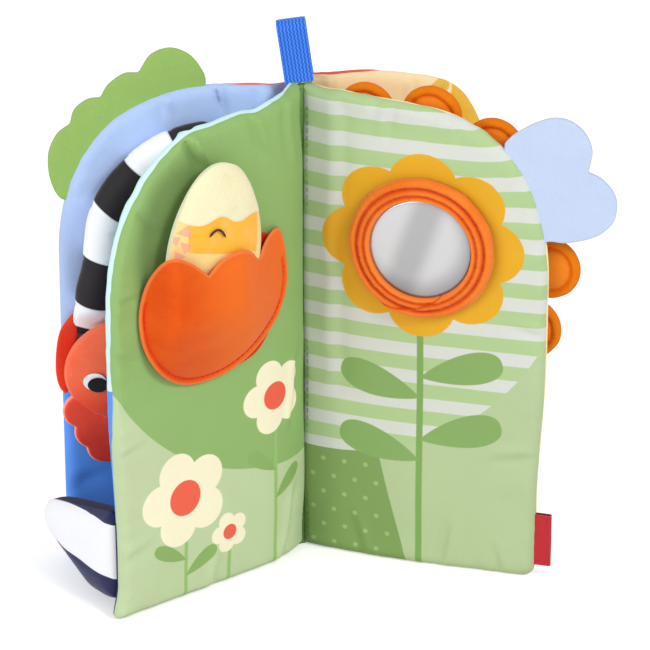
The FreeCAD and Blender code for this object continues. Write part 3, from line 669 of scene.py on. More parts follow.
def leaves():
    """The four padded leaves, each a front and a back cloth."""
    ring = [(54.6, 155.0, 33.0, True)]
    arc = [(u, z, 15.0, False) for u, z in MANE]
    pocket = [(57.5, 140.0, 38.0, True), (64.0, 176.0, 15.0, True)]
    tail = [(108, 22, 26, False)]
    tube = [(92, 128, 10, True), (90, 145, 10, True), (84, 170, 10, True), (70, 188, 10, True),
            (48, 198, 10, True), (80, 95, 27, True), (90, 62, 16, True), (106, 103, 9, True)]
    rises = {"left_page": [(0, 7, 1.8), (31, 6, -1.4), (68, 8, 1.4)], "right_page": [(0, 6, 0.8)],
             "front_cover": [(0, 22, -3.2), (44, 18, 1.1)], "back_cover": [(50, 17, -3.0)]}
    plans = (
        (LEFT_PAGE, "left_page", "front", "back", 11, (2.9, 4.7, 6, 2.4, FULL_RIM),
         pocket + tail,
         [((70, 221), (61, 201), 2.6, 3.6), ((104, 152), (88, 150), 2.4, 1.3),
          ((109, 128), (95, 123), 2.6, 1.2), ((34, 219), (27, 200), 2.8, 1.5),
          ((95, 190), (82, 176), 2.6, 1.2), ((109, 80), (97, 84), 2.8, 0.9),
          ((14, 219), (12, 190), 3.0, 1.0), ((110, 30), (96, 36), 3.4, 0.9),
          ((60, 2), (57, 18), 3.2, 0.8), ((20, 2), (12, 34), 2.8, 1.8),
          ((16, 66), (9, 100), 3.0, 1.2)],
         ("green_cloth", PALE_GREEN, left_print), ("aqua_cloth", (206, 238, 240), left_back_print)),
        (RIGHT_PAGE, "right_page", "front", "back", 23, (3.0, 4.1, 90, 0.8, SLIM_RIM),
         ring + arc,
         [((108, 60), (90, 57), 3.4, 0.9), ((109, 118), (97, 120), 2.6, 0.8),
          ((40, 218), (38, 204), 3.0, 0.9), ((17, 216), (15, 80), 4.5, 1.0),
          ((72, 216), (68, 204), 2.6, 0.8), ((66, 1), (70, 22), 3.0, 1.2),
          ((30, 1), (24, 20), 3.2, 0.9), ((95, 1), (92, 14), 2.6, 0.9)],
         ("stripe_cloth", (170, 197, 140), right_print),
         ("yellow_cloth", (253, 240, 178), back_field_print)),
        (FRONT_COVER, "front_cover", "inner", "outer", 37, (4.8, 2.8, 26, 2.4, RIM), tube,
         [((35.5, 221), (33.5, 209), 1.3, 2.6), ((60, 219), (57, 206), 2.4, 1.2),
          ((98, 128), (86, 126), 2.4, 0.5), ((16, 220), (17, 208), 2.6, 1.0),
          ((99, 176), (90, 172), 2.6, 0.9), ((102, 40), (90, 44), 5.0, 0.9)],
         ("sky_cloth", (176, 198, 240), front_inside_print),
         ("coral_cloth", (238, 110, 92), outer_print)),
        (BACK_COVER, "back_cover", "inner", "outer", 53, (4.4, 2.0, 24, 2.4, RIM),
         [(24, 85.5, 17, True), (25, 207, 15, True)],
         [((10.5, 219), (13, 204), 2.0, 2.4), ((32, 219), (32, 206), 2.6, 1.4),
          ((50, 218), (48, 206), 2.6, 1.0), ((66, 212), (60, 202), 2.4, 0.9)],
         ("peach_cloth", (247, 225, 178), back_inside_print),
         ("coral_cloth", (226, 92, 62), outer_print)))
    for leaf, stem, near, far, seed, seams, rests, folds, inner, outer in plans:
        wrinkles = Wrinkles(leaf, seed, folds, rests)
        for side, (slot, color, prints), front in ((near, inner, True), (far, outer, False)):
            replaced = ["%s_%s_panel" % (stem, side)] + (["%s_padding" % stem] if front else [])
            material = page_cloth("%s_%s" % (stem, slot), color, prints)
            leaf_cloth(leaf, "%s_%s_cloth" % (stem, side), material, front, wrinkles,
                       replaced, seams, rises[stem], 2.8 if leaf.body == "root" else 0.0)


leaves()


# ---------------- closed outlines and pads

def smooth_run(points, closed=False):
    """A smooth line, dense, through the points."""
    p = np.array(points, float)
    if closed:
        p = np.concatenate([p[-1:], p, p[:2]])
    else:
        p = np.concatenate([2 * p[:1] - p[1:2], p, 2 * p[-1:] - p[-2:-1]])
    t = np.linspace(0, 1, 12, endpoint=False)[:, None]
    return np.concatenate([b + (c - a) * t / 2 + (a - 2.5 * b + 2 * c - d / 2) * t ** 2
                           + (1.5 * (b - c) + (d - a) / 2) * t ** 3
                           for a, b, c, d in zip(p[:-3], p[1:-2], p[2:-1], p[3:])])


def smooth_line(spacing, *segments):
    """A closed line through the points, smooth along each segment and with a corner between two.
    It runs anticlockwise in (x, y)."""
    runs = [smooth_run(segment, closed=len(segments) == 1) for segment in segments]
    return even_line(np.concatenate(runs), spacing)


def even_line(line, spacing):
    """A closed line with evenly spaced points, anticlockwise."""
    line = np.concatenate([line, line[:1]])
    if (line[:-1, 0] * line[1:, 1] - line[1:, 0] * line[:-1, 1]).sum() < 0:
        line = line[::-1]
    count = int(run(line)[-1] / spacing)
    return resample(line, np.arange(count) / count)


def oval(spacing, across, high, power=2.0):
    """A closed oval line by its half width and half height; a power above 2 squares it off."""
    c, s = circle(240)
    line = np.stack([across * np.sign(c) * np.abs(c) ** (2 / power),
                     high * np.sign(s) * np.abs(s) ** (2 / power)], 1)
    return even_line(line, spacing)


def union_line(spacing, discs):
    """The outline of discs that overlap in a chain. Each disc is (x, y, radius)."""
    cloud = []
    for x, y, radius in discs:
        ring = np.stack(circle(1440), 1) * radius + (x, y)
        free = [np.hypot(*(ring - (ox, oy)).T) > other - 1e-6 for ox, oy, other in discs]
        cloud.append(ring[np.all(free, axis=0)])
    cloud = np.concatenate(cloud)
    left = np.ones(len(cloud), bool)
    at, chain = cloud[:, 0].argmin(), []
    while len(chain) < len(cloud):
        chain.append(cloud[at])
        left[at] = False
        gap = np.where(left, ((cloud - cloud[at]) ** 2).sum(1), np.inf)
        at = gap.argmin()
        if gap[at] > 9:
            break
    return even_line(np.array(chain), spacing)


def inside(points, line):
    """True for each point that the closed line goes round."""
    x, y = points[:, :1], points[:, 1:]
    (ax, ay), (bx, by) = line.T, np.roll(line, -1, 0).T
    crossing = (bx - ax) * (y - ay) / np.where(by == ay, 1, by - ay) + ax
    return (((ay > y) != (by > y)) & (x < crossing)).sum(1) % 2 == 1


class Pad:
    """Triangles that fill a closed line, with rings of points along it, for a front and a back
    that share the line."""

    def __init__(self, line, spacing, rings):
        self.rim = len(line)
        self.dense = resample(np.concatenate([line, line[:1]]), np.linspace(0, 1, self.rim * 5))
        step = np.roll(line, -1, 0) - np.roll(line, 1, 0)
        normal = unit(np.stack([-step[:, 1], step[:, 0]], 1))
        groups = [line]
        for inset in rings:
            ring = line + normal * inset
            groups.append(ring[nearest(ring, self.dense)[0] > inset * 0.95])
        low, high = line.min(0), line.max(0)
        grid = np.array([(x + (k % 2) * spacing / 2, y)
                         for k, y in enumerate(np.arange(low[1], high[1], spacing * 0.866))
                         for x in np.arange(low[0], high[0], spacing)])
        grid = grid[inside(grid, line)]
        groups.append(grid[nearest(grid, self.dense)[0] > max(rings) + spacing * 0.75])
        edges = [(k, (k + 1) % self.rim) for k in range(self.rim)]
        got = delaunay_2d_cdt([Vector(p) for p in np.concatenate(groups)], edges, [], 1, 1e-5)
        self.xy = np.array([tuple(p) for p in got[0]])
        self.edge, self.index = nearest(self.xy, self.dense)
        tris = np.array([tuple(f) for f in got[2]])
        a, b, c = self.xy[tris].transpose(1, 0, 2)
        (bx, by), (cx, cy) = (b - a).T, (c - a).T
        self.tris = np.where((bx * cy - by * cx > 0)[:, None], tris, tris[:, ::-1])

    def along(self):
        """How far along the line each point's nearest place on it is."""
        return run(self.dense)[self.index]

    def closed(self, front, back, *values):
        """Points and triangles of the closed form, and each array of values for its points."""
        points = np.concatenate([front, back[self.rim:]])
        other = np.where(self.tris < self.rim, self.tris, self.tris + len(front) - self.rim)
        faces = outward(points, np.concatenate([self.tris, other[:, ::-1]]))
        return (points, np.array(faces), *(np.concatenate([v, v[self.rim:]]) for v in values))

    def cushion(self, at, middle, half):
        """The closed form that lies by half its thickness before and behind a middle depth."""
        x, y = self.xy.T
        return self.closed(at(x, y, middle - half), at(x, y, middle + half),
                           np.stack([self.edge, x, y], 1))


def dome(edge, radius):
    """0 at the edge to 1 at that distance in from it, as round as a cushion's side."""
    return np.sqrt(1 - (1 - np.clip(edge / radius, 0, 1)) ** 2)


SWELL_FRAMES = 20


def inflated(points, faces, pressure, cap, still):
    """Points of a closed form after Blender's cloth has been blown up under that pressure, none
    moved further than cap. Points where still is true keep their place."""
    mesh = bpy.data.meshes.new("swelling")
    mesh.from_pydata((points * MM).tolist(), [], triangles(faces).tolist())
    obj = bpy.data.objects.new("swelling", mesh)
    scene = bpy.context.scene
    scene.collection.objects.link(obj)
    group = obj.vertex_groups.new(name="still")
    group.add(np.nonzero(still)[0].tolist(), 1.0, "ADD")
    settings = obj.modifiers.new("Cloth", "CLOTH").settings
    settings.quality = 6
    settings.mass = 0.15
    settings.tension_stiffness = settings.compression_stiffness = 12
    settings.shear_stiffness, settings.bending_stiffness = 6, 0.25
    settings.use_pressure = True
    settings.uniform_pressure_force = pressure
    settings.effector_weights.gravity = 0
    settings.vertex_group_mass = group.name
    for frame_number in range(1, SWELL_FRAMES + 1):
        scene.frame_set(frame_number)
    seen = obj.evaluated_get(bpy.context.evaluated_depsgraph_get()).to_mesh()
    moved = np.empty(len(seen.vertices) * 3)
    seen.vertices.foreach_get("co", moved)
    moved = moved.reshape(-1, 3) / MM - points
    bpy.data.objects.remove(obj)
    bpy.data.meshes.remove(mesh)
    scene.frame_set(1)
    far = np.linalg.norm(moved, axis=1, keepdims=True)
    return points + moved * np.minimum(1, cap / np.maximum(far, 1e-6))


def halves(points, faces, zone, body, fill, sides):
    """The front and the back of a closed pad as two pieces, each side given as (name, slot,
    material, nodes); the slot is not used.
    """
    for chosen, (name, slot, material, nodes) in zip(np.split(faces, 2), sides):
        used = np.unique(chosen)
        piece(name, points[used], np.searchsorted(used, chosen), body, material, nodes,
              {"pad": zone[used]}, fill)


def thread(name, path, radius, material):
    """A round thread along a path of points, closed at both ends."""
    sides = 8
    way = unit(np.gradient(path, axis=0))
    up = np.where(np.abs(way[:, 2:]) > 0.9, [[1.0, 0, 0]], [[0, 0, 1.0]])
    first = unit(np.cross(way, up))
    second = np.cross(way, first)
    place = np.arange(len(path)) + 0.4
    size = radius * np.sqrt(np.clip(np.minimum(place, place[::-1]) / 2.4, 0, 1))
    c, s = (wave[None, :, None] for wave in circle(sides))
    ring = first[:, None] * c + second[:, None] * s
    points = (path[:, None] + ring * size[:, None, None]).reshape(-1, 3)
    return piece(name, points, tube_faces(len(path), sides), "root", material)


def stitches(name, path, out, material, dash, pitch):
    """Dashes of thread along a dense path, lying on cloth that looks along out."""
    radius, sides = 0.2, 6
    reach, side, (c, s) = run(path)[-1], unit(out), circle(sides)
    points, faces = [], []
    for k in range(int((reach - dash) / pitch)):
        marks = (k + 0.3) * pitch + np.array([0.0, 0.12, 0.5, 0.88, 1.0]) * dash
        line = resample(path, marks / reach)
        across = np.cross(unit(line[-1] - line[0]), side)
        faces += tube_faces(len(line), sides, len(points) * sides)
        for spot, size, lift in zip(line, (0.35, 0.9, 1.0, 0.9, 0.35), (-0.7, 0, 0.15, 0, -0.7)):
            points.append(spot + side * radius * lift
                          + radius * size * (c[:, None] * across + s[:, None] * side))
    return piece(name, np.concatenate(points), faces, "root", material)


# ---------------- plush and felt

def velour(name, color, deep, sheen=0.55):
    """Short-pile cloth: brushed patches, a fine speckle and a strong sheen."""
    cloth = Cloth(name, color, rough=0.95, sheen=sheen, sheen_rough=0.35, specular=0.1)
    brushed = cloth.noise(16.0, 3.0, (1.6, 1.6, 1.0))
    cloth.paint(brushed.between(0.42, 0.68) * 0.55, deep)
    cloth.shade(cloth.noise(0.9), 0.88, 1.08)
    cloth.bump(cloth.noise(0.55), 0.35, 0.22)
    cloth.bump(cloth.noise(5.0, 3.0), 0.25, 0.5)
    return cloth


def felt(name, color, fleck):
    """Pressed felt: flecked fibres and a dry surface."""
    cloth = Cloth(name, color, rough=0.95, sheen=0.3, sheen_rough=0.5, specular=0.1)
    cloth.paint(cloth.noise(1.1, 4.0).between(0.52, 0.72) * 0.25, fleck)
    cloth.shade(cloth.noise(14.0, 2.0), 0.96, 1.04)
    cloth.shade(cloth.noise(0.5, 3.0), 0.93, 1.06)
    cloth.bump(cloth.noise(0.8, 4.0), 0.4, 0.18)
    return cloth


def solid_cloth(name, color, **settings):
    """A plain woven cloth without prints."""
    cloth = Cloth(name, color, **settings)
    cloth.bump(cloth.noise(0.7, 2.0, (1.0, 1.0, 0.6)), 0.25, 0.1)
    cloth.bump(cloth.noise(6.0, 3.0), 0.25, 0.35)
    cloth.shade(cloth.noise(18.0, 2.0), 0.95, 1.04)
    cloth.shade(cloth.noise(0.8, 2.0), 0.96, 1.03)
    return cloth


# ---------------- tulip pocket

# The tulip's outline: the dip between its two petals, then the way round from there.
TULIP = ([(60, 151), (54.5, 155.2), (48, 157.4), (41, 157.3), (36.5, 155.3), (33.5, 152)],
         [(33.5, 152), (31, 157.4), (28, 161.6), (25, 163.5), (22, 162.4), (19.6, 156.5),
          (17.6, 146), (17.6, 136), (20.6, 127), (26.1, 119.2), (34, 111.7), (43.7, 106.2),
          (54.1, 103.3), (66.2, 102.9), (75.5, 104.8), (83.6, 109.6), (90.7, 117.6),
          (95.6, 127.1), (97.7, 137.3), (97.3, 146), (94.7, 154), (90.4, 159.4), (84, 163.2),
          (77.8, 163.3), (72, 160.9), (66.1, 156.7), (60, 151)])
# The stitches that hold the pocket to the page, sunk in its groove.
SEAM = [(19.5, 146), (19.6, 136), (22.7, 127.9), (28, 120.8), (35.6, 113.9), (44.8, 108.6),
        (54.6, 105.9), (65.8, 105.5), (74.6, 107.4), (82, 111.8), (88.5, 119), (93, 128),
        (94.9, 137.5), (94.6, 145.6)]


def stand_off(x, y):
    """How far the pocket's front stands off the page."""
    across = ease((99.0 - x) / 25) * ease((x - 22.5) / 21)
    return 1.3 + 16.6 * across * ease((y - 101) / 34)


# How far the line of sight moves along the left page, out and up, for each millimetre before it.
SIGHT_OUT, SIGHT_UP = 0.807, 0.575


def in_sight(x, y, high, depth):
    """A point before the left page. It is laid out as it looks from the reader's place, then
    moved out by its stand-off along the line of sight."""
    shift = high - 2.0
    return LEFT_PAGE.at(x + SIGHT_OUT * shift, -depth, y + SIGHT_UP * shift)


def pocket():
    """The padded front, sewn down along its sides and its foot, and the lining behind it."""
    pad = Pad(smooth_line(1.1, *TULIP), 1.5,
              (0.35, 0.8, 1.3, 1.9, 2.4, 2.8, 3.2, 3.7, 4.4, 5.4, 6.6))
    x, y = pad.xy.T
    edge, along = pad.edge, pad.along()
    sewn = np.array([p for p in TULIP[1] if p[1] < 150 and p[0] > 12])
    sewn_far, _ = nearest(pad.xy, resample(sewn, np.linspace(0, 1, 600)))
    seam = ease((7.5 - np.abs(sewn_far - edge) * 3) / 5)
    middle = stand_off(x, y) + noise(x, y, 26, 301) * 0.7 * ease(edge / 10)
    groove = bell(edge, 2.9, 0.75) * seam
    pucker = noise(along, 0, 4.5, 302) * 0.22 * bell(edge, 2.9, 3.0)
    front = 0.9 * dome(edge, 1.5) + 0.95 * ease((edge - 2.6) / 7) - 0.85 * groove + pucker
    points, faces, zone = pad.closed(in_sight(x, y, middle, middle + front),
                                     in_sight(x, y, middle, middle - 0.55 * dome(edge, 0.9)),
                                     np.stack([edge, groove, x], 1))
    cloth = velour("pocket_velour", (225, 88, 20), (216, 68, 10), sheen=0.22)
    rim, line, side = cloth.attribute("pocket")
    # Painted light: the pocket is painted lighter towards the spine and darker towards the outer
    # edge, as the lamps fall on its bulge.
    cloth.paint(side.between(82, 40) * 0.7, (244, 120, 42))
    # Painted highlight: the folded edge is painted paler, as the velour's sheen would light it.
    cloth.paint(rim.between(1.7, 0.5) * 0.6, (246, 134, 74))
    cloth.paint(line * 0.75, (226, 52, 10))
    piece("pocket_cloth", points, faces, "root", cloth.done(),
          ["pocket_front"], {"pocket": zone}, 0.4)

    x, y = smooth_run(SEAM).T
    high = stand_off(x, y)
    cloth = solid_cloth("thread_orange", (214, 52, 14), rough=0.6)
    stitches("pocket_stitches", in_sight(x, y, high, high + 0.35), LEFT_PAGE.outlook(),
             cloth.done(), dash=1.9, pitch=2.7)

    pad = Pad(smooth_line(1.2, [(34, 108), (50, 104), (66, 105), (74, 118), (82, 128), (87, 139),
                                (86, 149), (78, 152), (66, 149), (50, 153), (40, 160),
                                (33.5, 162.6), (27.5, 161.5), (22, 152), (20.5, 138), (24, 122)]),
              3.0, (0.4, 1.0))
    x, z = pad.xy.T
    high = 0.9 * dome(pad.edge, 0.9) + noise(x, z, 14, 311) * 0.15 * ease(pad.edge / 4)
    points, faces = pad.closed(LEFT_PAGE.at(x, -0.35 - high, z), LEFT_PAGE.at(x, -0.35, z))
    cloth = velour("lining_velour", (222, 60, 22), (205, 42, 14), sheen=0.3)
    piece("lining_cloth", points, faces, "root", cloth.done(), ["pocket_lining"],
          (), 0.1)


pocket()


# ---------------- chick

CHICK_MIDDLE, CHICK_DEPTH, CHICK_LEAN = (62.8, 165.0), 8.6, math.radians(7)
CHICK_WIDE, CHICK_HIGH, CHICK_POWER = 24.9, 39.9, 2.12
# How far the cloth run moves the face out at the eye.
CHICK_SWELL = 0.75
# Printed cheek marks: the middle, the size and the way of each triangle.
CHEEK = (((-19.0, 12.6), 3.6, 12), ((-18.8, 6.2), 3.2, -160), ((-21.5, 2.0), 3.0, 60),
         ((-22.8, 9.0), 2.6, 100))
# The lower edge of the cap of shell, from side to side.
CAP = [(-30, 19.4), (-24, 18.4), (-18, 15.6), (-12.5, 15.0), (-8, 16.6), (-4.5, 18.6), (-1, 18.0),
       (3, 15.4), (7, 14.8), (11, 16.4), (15, 17.4), (20, 16.4), (30, 15.0)]


def on_chick(x, y, depth):
    """A point on the left page from one on the leaning chick, by its depth behind the middle."""
    c, s = math.cos(CHICK_LEAN), math.sin(CHICK_LEAN)
    return LEFT_PAGE.at(CHICK_MIDDLE[0] - (x * c + y * s), depth - CHICK_DEPTH,
                        CHICK_MIDDLE[1] + (y * c - x * s))


def chick_swell(x, y, wide=CHICK_WIDE):
    """Half the thickness of the chick's body at a place on it."""
    r = (np.abs(x) / wide) ** CHICK_POWER + (np.abs(y) / CHICK_HIGH) ** CHICK_POWER
    half = np.interp(y, [-40, -14, -4, 12, 40], [6.2, 6.3, 7.3, 8.0, 7.6])
    return half * (1 - np.clip(r, 0, 1)) ** 0.55


def chick_taper(y):
    """How much narrower the chick is than an oval, towards its top."""
    return 1 - 0.13 * ease((y + 4) / 44)


def triangle(x, y, centre, radius, way):
    """1 inside a small printed triangle."""
    turns = [math.radians(way + 120 * k) for k in range(3)]
    sides = [(x - centre[0]) * math.cos(turn) + (y - centre[1]) * math.sin(turn) for turn in turns]
    return functools.reduce(Value.__mul__, [side.below(radius * 0.5, 0.4) for side in sides])


def chick_plush(name, color, face):
    """The chick's plush, with the printed face and the cap's colour on the front."""
    cloth = Cloth(name, color, rough=0.95, sheen=0.45, sheen_rough=0.45, specular=0.1)
    over, x, y = cloth.attribute("pad")
    if face:
        field = x.above(-18.0, 0.3) * (y + x * 0.12).above(1.6, 0.3) * x.below(18.8, 0.3)
        cloth.paint(field, (255, 186, 58))
        cloth.paint(field * y.between(8, -3) * 0.5, (246, 164, 36))
        cheeks = functools.reduce(Value.either, [triangle(x, y, *mark) for mark in CHEEK])
        cloth.paint(cheeks * x.below(-16.6, 0.3) * 0.7, (248, 158, 148))
        cloth.paint(over.above(0.0, 0.3), (240, 232, 192))
    cloth.paint(cloth.noise(9.0, 3.0).between(0.5, 0.75) * 0.22, (226, 210, 150))
    cloth.shade(cloth.noise(0.9, 3.0), 0.9, 1.06)
    cloth.bump(cloth.noise(0.7, 3.0), 0.45, 0.25)
    cloth.bump(cloth.noise(3.2, 3.0), 0.35, 0.5)
    return cloth.done()


def chick():
    """An egg-shaped stuffed chick: a face under a raised cap of shell, seamed at its sides."""
    line = oval(0.9, 24.6, 39.6, CHICK_POWER)
    turn = np.arctan2(line[:, 1], line[:, 0])
    line = line * (1 + 0.012 * noise(turn * 10, 0, 3.0, 401)[:, None])
    line[:, 0] *= chick_taper(line[:, 1])
    pad = Pad(line, 1.0, (0.3, 0.7, 1.2, 1.8))
    x, y = pad.xy.T
    full = chick_swell(x, y, CHICK_WIDE * chick_taper(y))
    cap = resample(np.array(CAP), np.linspace(0, 1, 60))
    kernel = np.hanning(7) / np.hanning(7).sum()
    cap_y = np.convolve(np.pad(cap[:, 1], 3, "edge"), kernel, "valid")
    over = y - np.interp(x, cap[:, 0], cap_y)
    raised = ease(over / 0.9 + 0.5)
    soft = noise(x, y, 11, 403) * 0.45 * ease(pad.edge / 5) + noise(x, y, 4.6, 404) * 0.16
    front = full + 0.75 * raised * ease(pad.edge / 2) + soft * (0.35 + 0.65 * raised)
    points, faces, zone = pad.closed(on_chick(x, y, -front),
                                     on_chick(x, y, np.minimum(full, 6.9)),
                                     np.stack([over, x, y], 1))
    in_pocket = points[:, 2] < 158
    still = (np.arange(len(points)) < pad.rim) | in_pocket
    points = inflated(points, faces, 3.0, 0.9, still)
    yellow = chick_plush("chick_front_plush", (253, 216, 140), True)
    cream = chick_plush("chick_back_plush", (246, 238, 205), False)
    halves(points, faces, zone, "root", 0.75,
           [("chick_front_cloth", "plush_yellow", yellow, ["chick_front", "chick_stuffing"]),
            ("chick_back_cloth", "plush_cream", cream, ["chick_back"])])

    arc = np.linspace(0, 1, 24)
    x = -9.2 + 7.8 * arc
    y = 10.4 + 3.2 * np.sin(math.pi * arc) ** 0.8 - 1.0 * arc
    swell = CHICK_SWELL
    cloth = solid_cloth("thread_brown", (72, 46, 22), rough=0.6)
    thread("chick_eye_stitch", on_chick(x, y, -chick_swell(x, y) - swell - 0.15), 0.55,
           cloth.done())


chick()
# ---------------- mirror flower

# The middle of the flower round the mirror, on the right page.
FLOWER = (54.9, 153.9)
# The padded ring's section as (radius, height): the lip, the two bands and the hem.
RING_SECTION = [(22.6, 1.6), (23.6, 2.0), (24.4, 0.4), (30.6, 0.15), (31.4, 0.5), (31.9, 1.4),
                (32.0, 2.6), (31.7, 3.8), (31.1, 4.7), (30.2, 5.3), (29.2, 5.3), (28.5, 4.5),
                (28.1, 3.9), (27.6, 4.5), (26.9, 5.5), (26.1, 5.9), (25.3, 5.6), (24.9, 5.1),
                (24.5, 5.5), (24.0, 5.9), (23.4, 6.0), (22.9, 5.7), (22.6, 4.9), (22.5, 3.6),
                (22.5, 2.3), (22.6, 1.6)]


def on_flower(x, high, y):
    """A point of the right page from its place about the flower's middle and its height."""
    return RIGHT_PAGE.at(FLOWER[0] + x, -high, FLOWER[1] + y)


def mirror_ring():
    """The padded ring: a rolled lip round the window, two bands behind it and a flat hem, with
    fine radial puckers. At its foot a petal's end laps over the ring."""
    turns = 420
    profile = resample(np.array(RING_SECTION), np.linspace(0, 1, 64))[:-1]
    radius, high = (np.repeat(column[:, None], turns, 1) for column in profile.T)
    angle = np.linspace(0, math.tau, turns, endpoint=False)[None]
    top = ease((high - 2.4) / 2)
    groove = bell(radius, 28.1, 0.9) + bell(radius, 24.9, 0.8)
    pucker = (noise(angle * 26, 0, 0.9, 501) + noise(angle * 26, 0, 2.3, 502)) * 0.3
    high = high + top * (pucker * (0.35 + 0.65 * np.clip(groove, 0, 1)) - 0.3 * groove)
    radius = radius + 0.35 * noise(angle * 26, 0, 5.0, 503) * ease((radius - 29.5) / 2)
    lap = angle - math.radians(298) + (radius - 22.3) * 0.11
    high = high + top * 1.3 * ease((radius - 22.3) / 2) * np.where(
        lap > 0, bell(lap, 0, 0.5), bell(lap, 0, 0.025))
    # Painted shadow: a dark line beside the petal's lapping end, where its shadow falls on the
    # ring.
    under = bell(lap, -0.03, 0.035) * top
    points = on_flower(radius * np.cos(angle), high + 0.02, radius * np.sin(angle)).reshape(-1, 3)
    step = np.arange(turns)
    after, last = (step + 1) % turns, (len(profile) - 1) * turns
    faces = grid_faces(len(profile), turns, ring=True)
    faces += np.stack([last + step, last + after, after, step], 1).tolist()
    zone = np.stack([radius.ravel(), np.clip(groove + under, 0, 1).ravel(), high.ravel()], 1)
    cloth = velour("ring_velour", (236, 128, 48), (230, 104, 28), sheen=0.3)
    reach, line, _ = cloth.attribute("ring")
    cloth.paint(reach.between(24.3, 22.6) * 0.6, (250, 132, 60))
    # The grooves are painted darker, and so is the painted shadow beside the lapping end.
    cloth.paint(line * 0.8, (206, 62, 8))
    piece("ring_cloth", points, outward(points, faces), "root", cloth.done(),
          ["mirror_ring"], {"ring": zone}, 0.6)


def mirror_film():
    """The mirror: a disc of film, a little bowed. Its colour carries painted reflections and a
    painted shade by the ring's lip.
    """
    rings, turns, size = 14, 180, 23.0
    c, s = circle(turns)
    spread = np.linspace(0, size, rings)[1:, None]
    x, y = np.append(0, spread * c), np.append(0, spread * s)
    r, count = np.hypot(x, y), len(x)
    bow = 4.0 - 0.45 * (r / size) ** 2 + 0.03 * noise(x, y, 11, 511)
    points = np.concatenate([on_flower(x, bow, y), on_flower(x, 0.3, y)])
    faces = [(0, 1 + (k + 1) % turns, 1 + k) for k in range(turns)]
    faces += grid_faces(rings - 1, turns, 1, ring=True)
    faces += [tuple(np.array(f[::-1]) + count) for f in faces]
    rim = [(count - turns + k, count - turns + (k + 1) % turns) for k in range(turns)]
    faces += [(a, b, b + count, a + count) for a, b in rim]
    glass = Cloth("mirror_film", (215, 215, 216), rough=0.22, sheen=0.0, specular=0.5)
    across, up, _ = glass.attribute("disc")
    # Painted reflection: a darker diagonal band across the film.
    band = abs(across + up * -0.34 + 3.0).between(11.5, 2.5)
    glass.shade(band, 1.0, 0.7)
    # Painted reflection: the film grows darker towards its edges, away from a point a little above
    # its middle.
    glass.shade(length(across + 3.0, up - 5.0).between(16.0, 28.0), 1.0, 0.55)
    # Painted shade: darker at the rim, by the ring's lip.
    glass.shade(length(across, up).between(20.0, 22.8), 1.0, 0.8)
    glass.shader.inputs["Metallic"].default_value = 0.75
    piece("mirror_film", points, outward(points, faces), "root", glass.done(),
          ["mirror_disc"], {"disc": np.tile(np.stack([x, y, r], 1), (2, 1))})


mirror_ring()
mirror_film()


# ---------------- felt tabs, tag and petals

def felt_tab(name, leaf, line, seed, part, color, fleck):
    """A flat piece of felt with softly cut edges, sewn into the leaf's seam."""
    pad = Pad(line, 2.2, (0.25, 0.6, 1.1))
    u, z = pad.xy.T
    half = 1.15 * (0.62 + 0.38 * dome(pad.edge, 0.9))
    half = half + noise(u, z, 3.2, seed) * 0.1 * ease(pad.edge)
    middle = 3.3 + noise(u, z, 24, seed + 1) * 0.35
    points, faces, zone = pad.cushion(lambda x, y, w: leaf.at(x, w, y), middle, half)
    cloth = felt(name, color, fleck)
    rim, _, _ = cloth.attribute("pad")
    cloth.shade(rim.between(0.0, 0.9), 0.93, 1.0)
    piece(name, points, faces, leaf.body, cloth.done(), [part], {"pad": zone}, 0.12)


def leaf_inner(leaf, low, high, count):
    """Points of the leaf's inset outline between two of its points, from the lower one up."""
    _, outer, crown = outline(leaf, 3.2)
    line = np.concatenate([outer, crown[::-1]])
    chosen = line[(line[:, 1] > low[1]) & (line[:, 1] < high[1] + 40)]
    chosen = chosen[(chosen[:, 0] > min(low[0], high[0]) - 0.01)]
    first = np.hypot(*(chosen - low).T).argmin()
    last = np.hypot(*(chosen - high).T).argmin()
    chosen = chosen[first:last + 1] if first < last else chosen[last:first + 1][::-1]
    return resample(chosen, np.linspace(0, 1, count))


def tabs():
    """The cloud in the right page's edge and the bush in the front cover's."""
    inner = leaf_inner(RIGHT_PAGE, (107.0, 160.0), (89.0, 202.0), 14)
    cloud = smooth_line(1.0, [*inner, (89.6, 204)],
                        [(89.6, 204), (93, 208), (98.5, 212), (104.5, 215.4), (111, 217.4),
                         (118, 216.4), (124.2, 211.4), (127.3, 203.6), (125.9, 194.4)],
                        [(125.9, 194.4), (131.6, 191.8), (137, 186), (138.6, 179), (136.6, 171.8),
                         (129.6, 165.4), (118, 161.4), (110.5, 161.2), (107.0, 160.0)])
    felt_tab("cloud_felt", RIGHT_PAGE, cloud, 521, "cloud_tab", (189, 204, 232),
             (204, 217, 242))
    inner = leaf_inner(FRONT_COVER, (102.5, 170.0), (41.0, 217.0), 16)
    bush = smooth_line(1.0, inner,
                       [inner[-1], (40.5, 221), (42, 226.3), (47.1, 233.4), (55.5, 237),
                        (64, 234.4), (69.3, 226.6)],
                       [(69.3, 226.6), (75.6, 226.6), (82.6, 222), (85.9, 216.6)],
                       [(85.9, 216.6), (91.6, 216.1), (97.4, 211.8), (99.5, 205.4)],
                       [(99.5, 205.4), (104.9, 201.6), (108.8, 194), (109.3, 185.6),
                        (107.6, 177.6), (104.4, 172), inner[0]])
    felt_tab("bush_felt", FRONT_COVER, bush, 531, "bush_tab", (150, 184, 98),
             (168, 200, 118))


tabs()


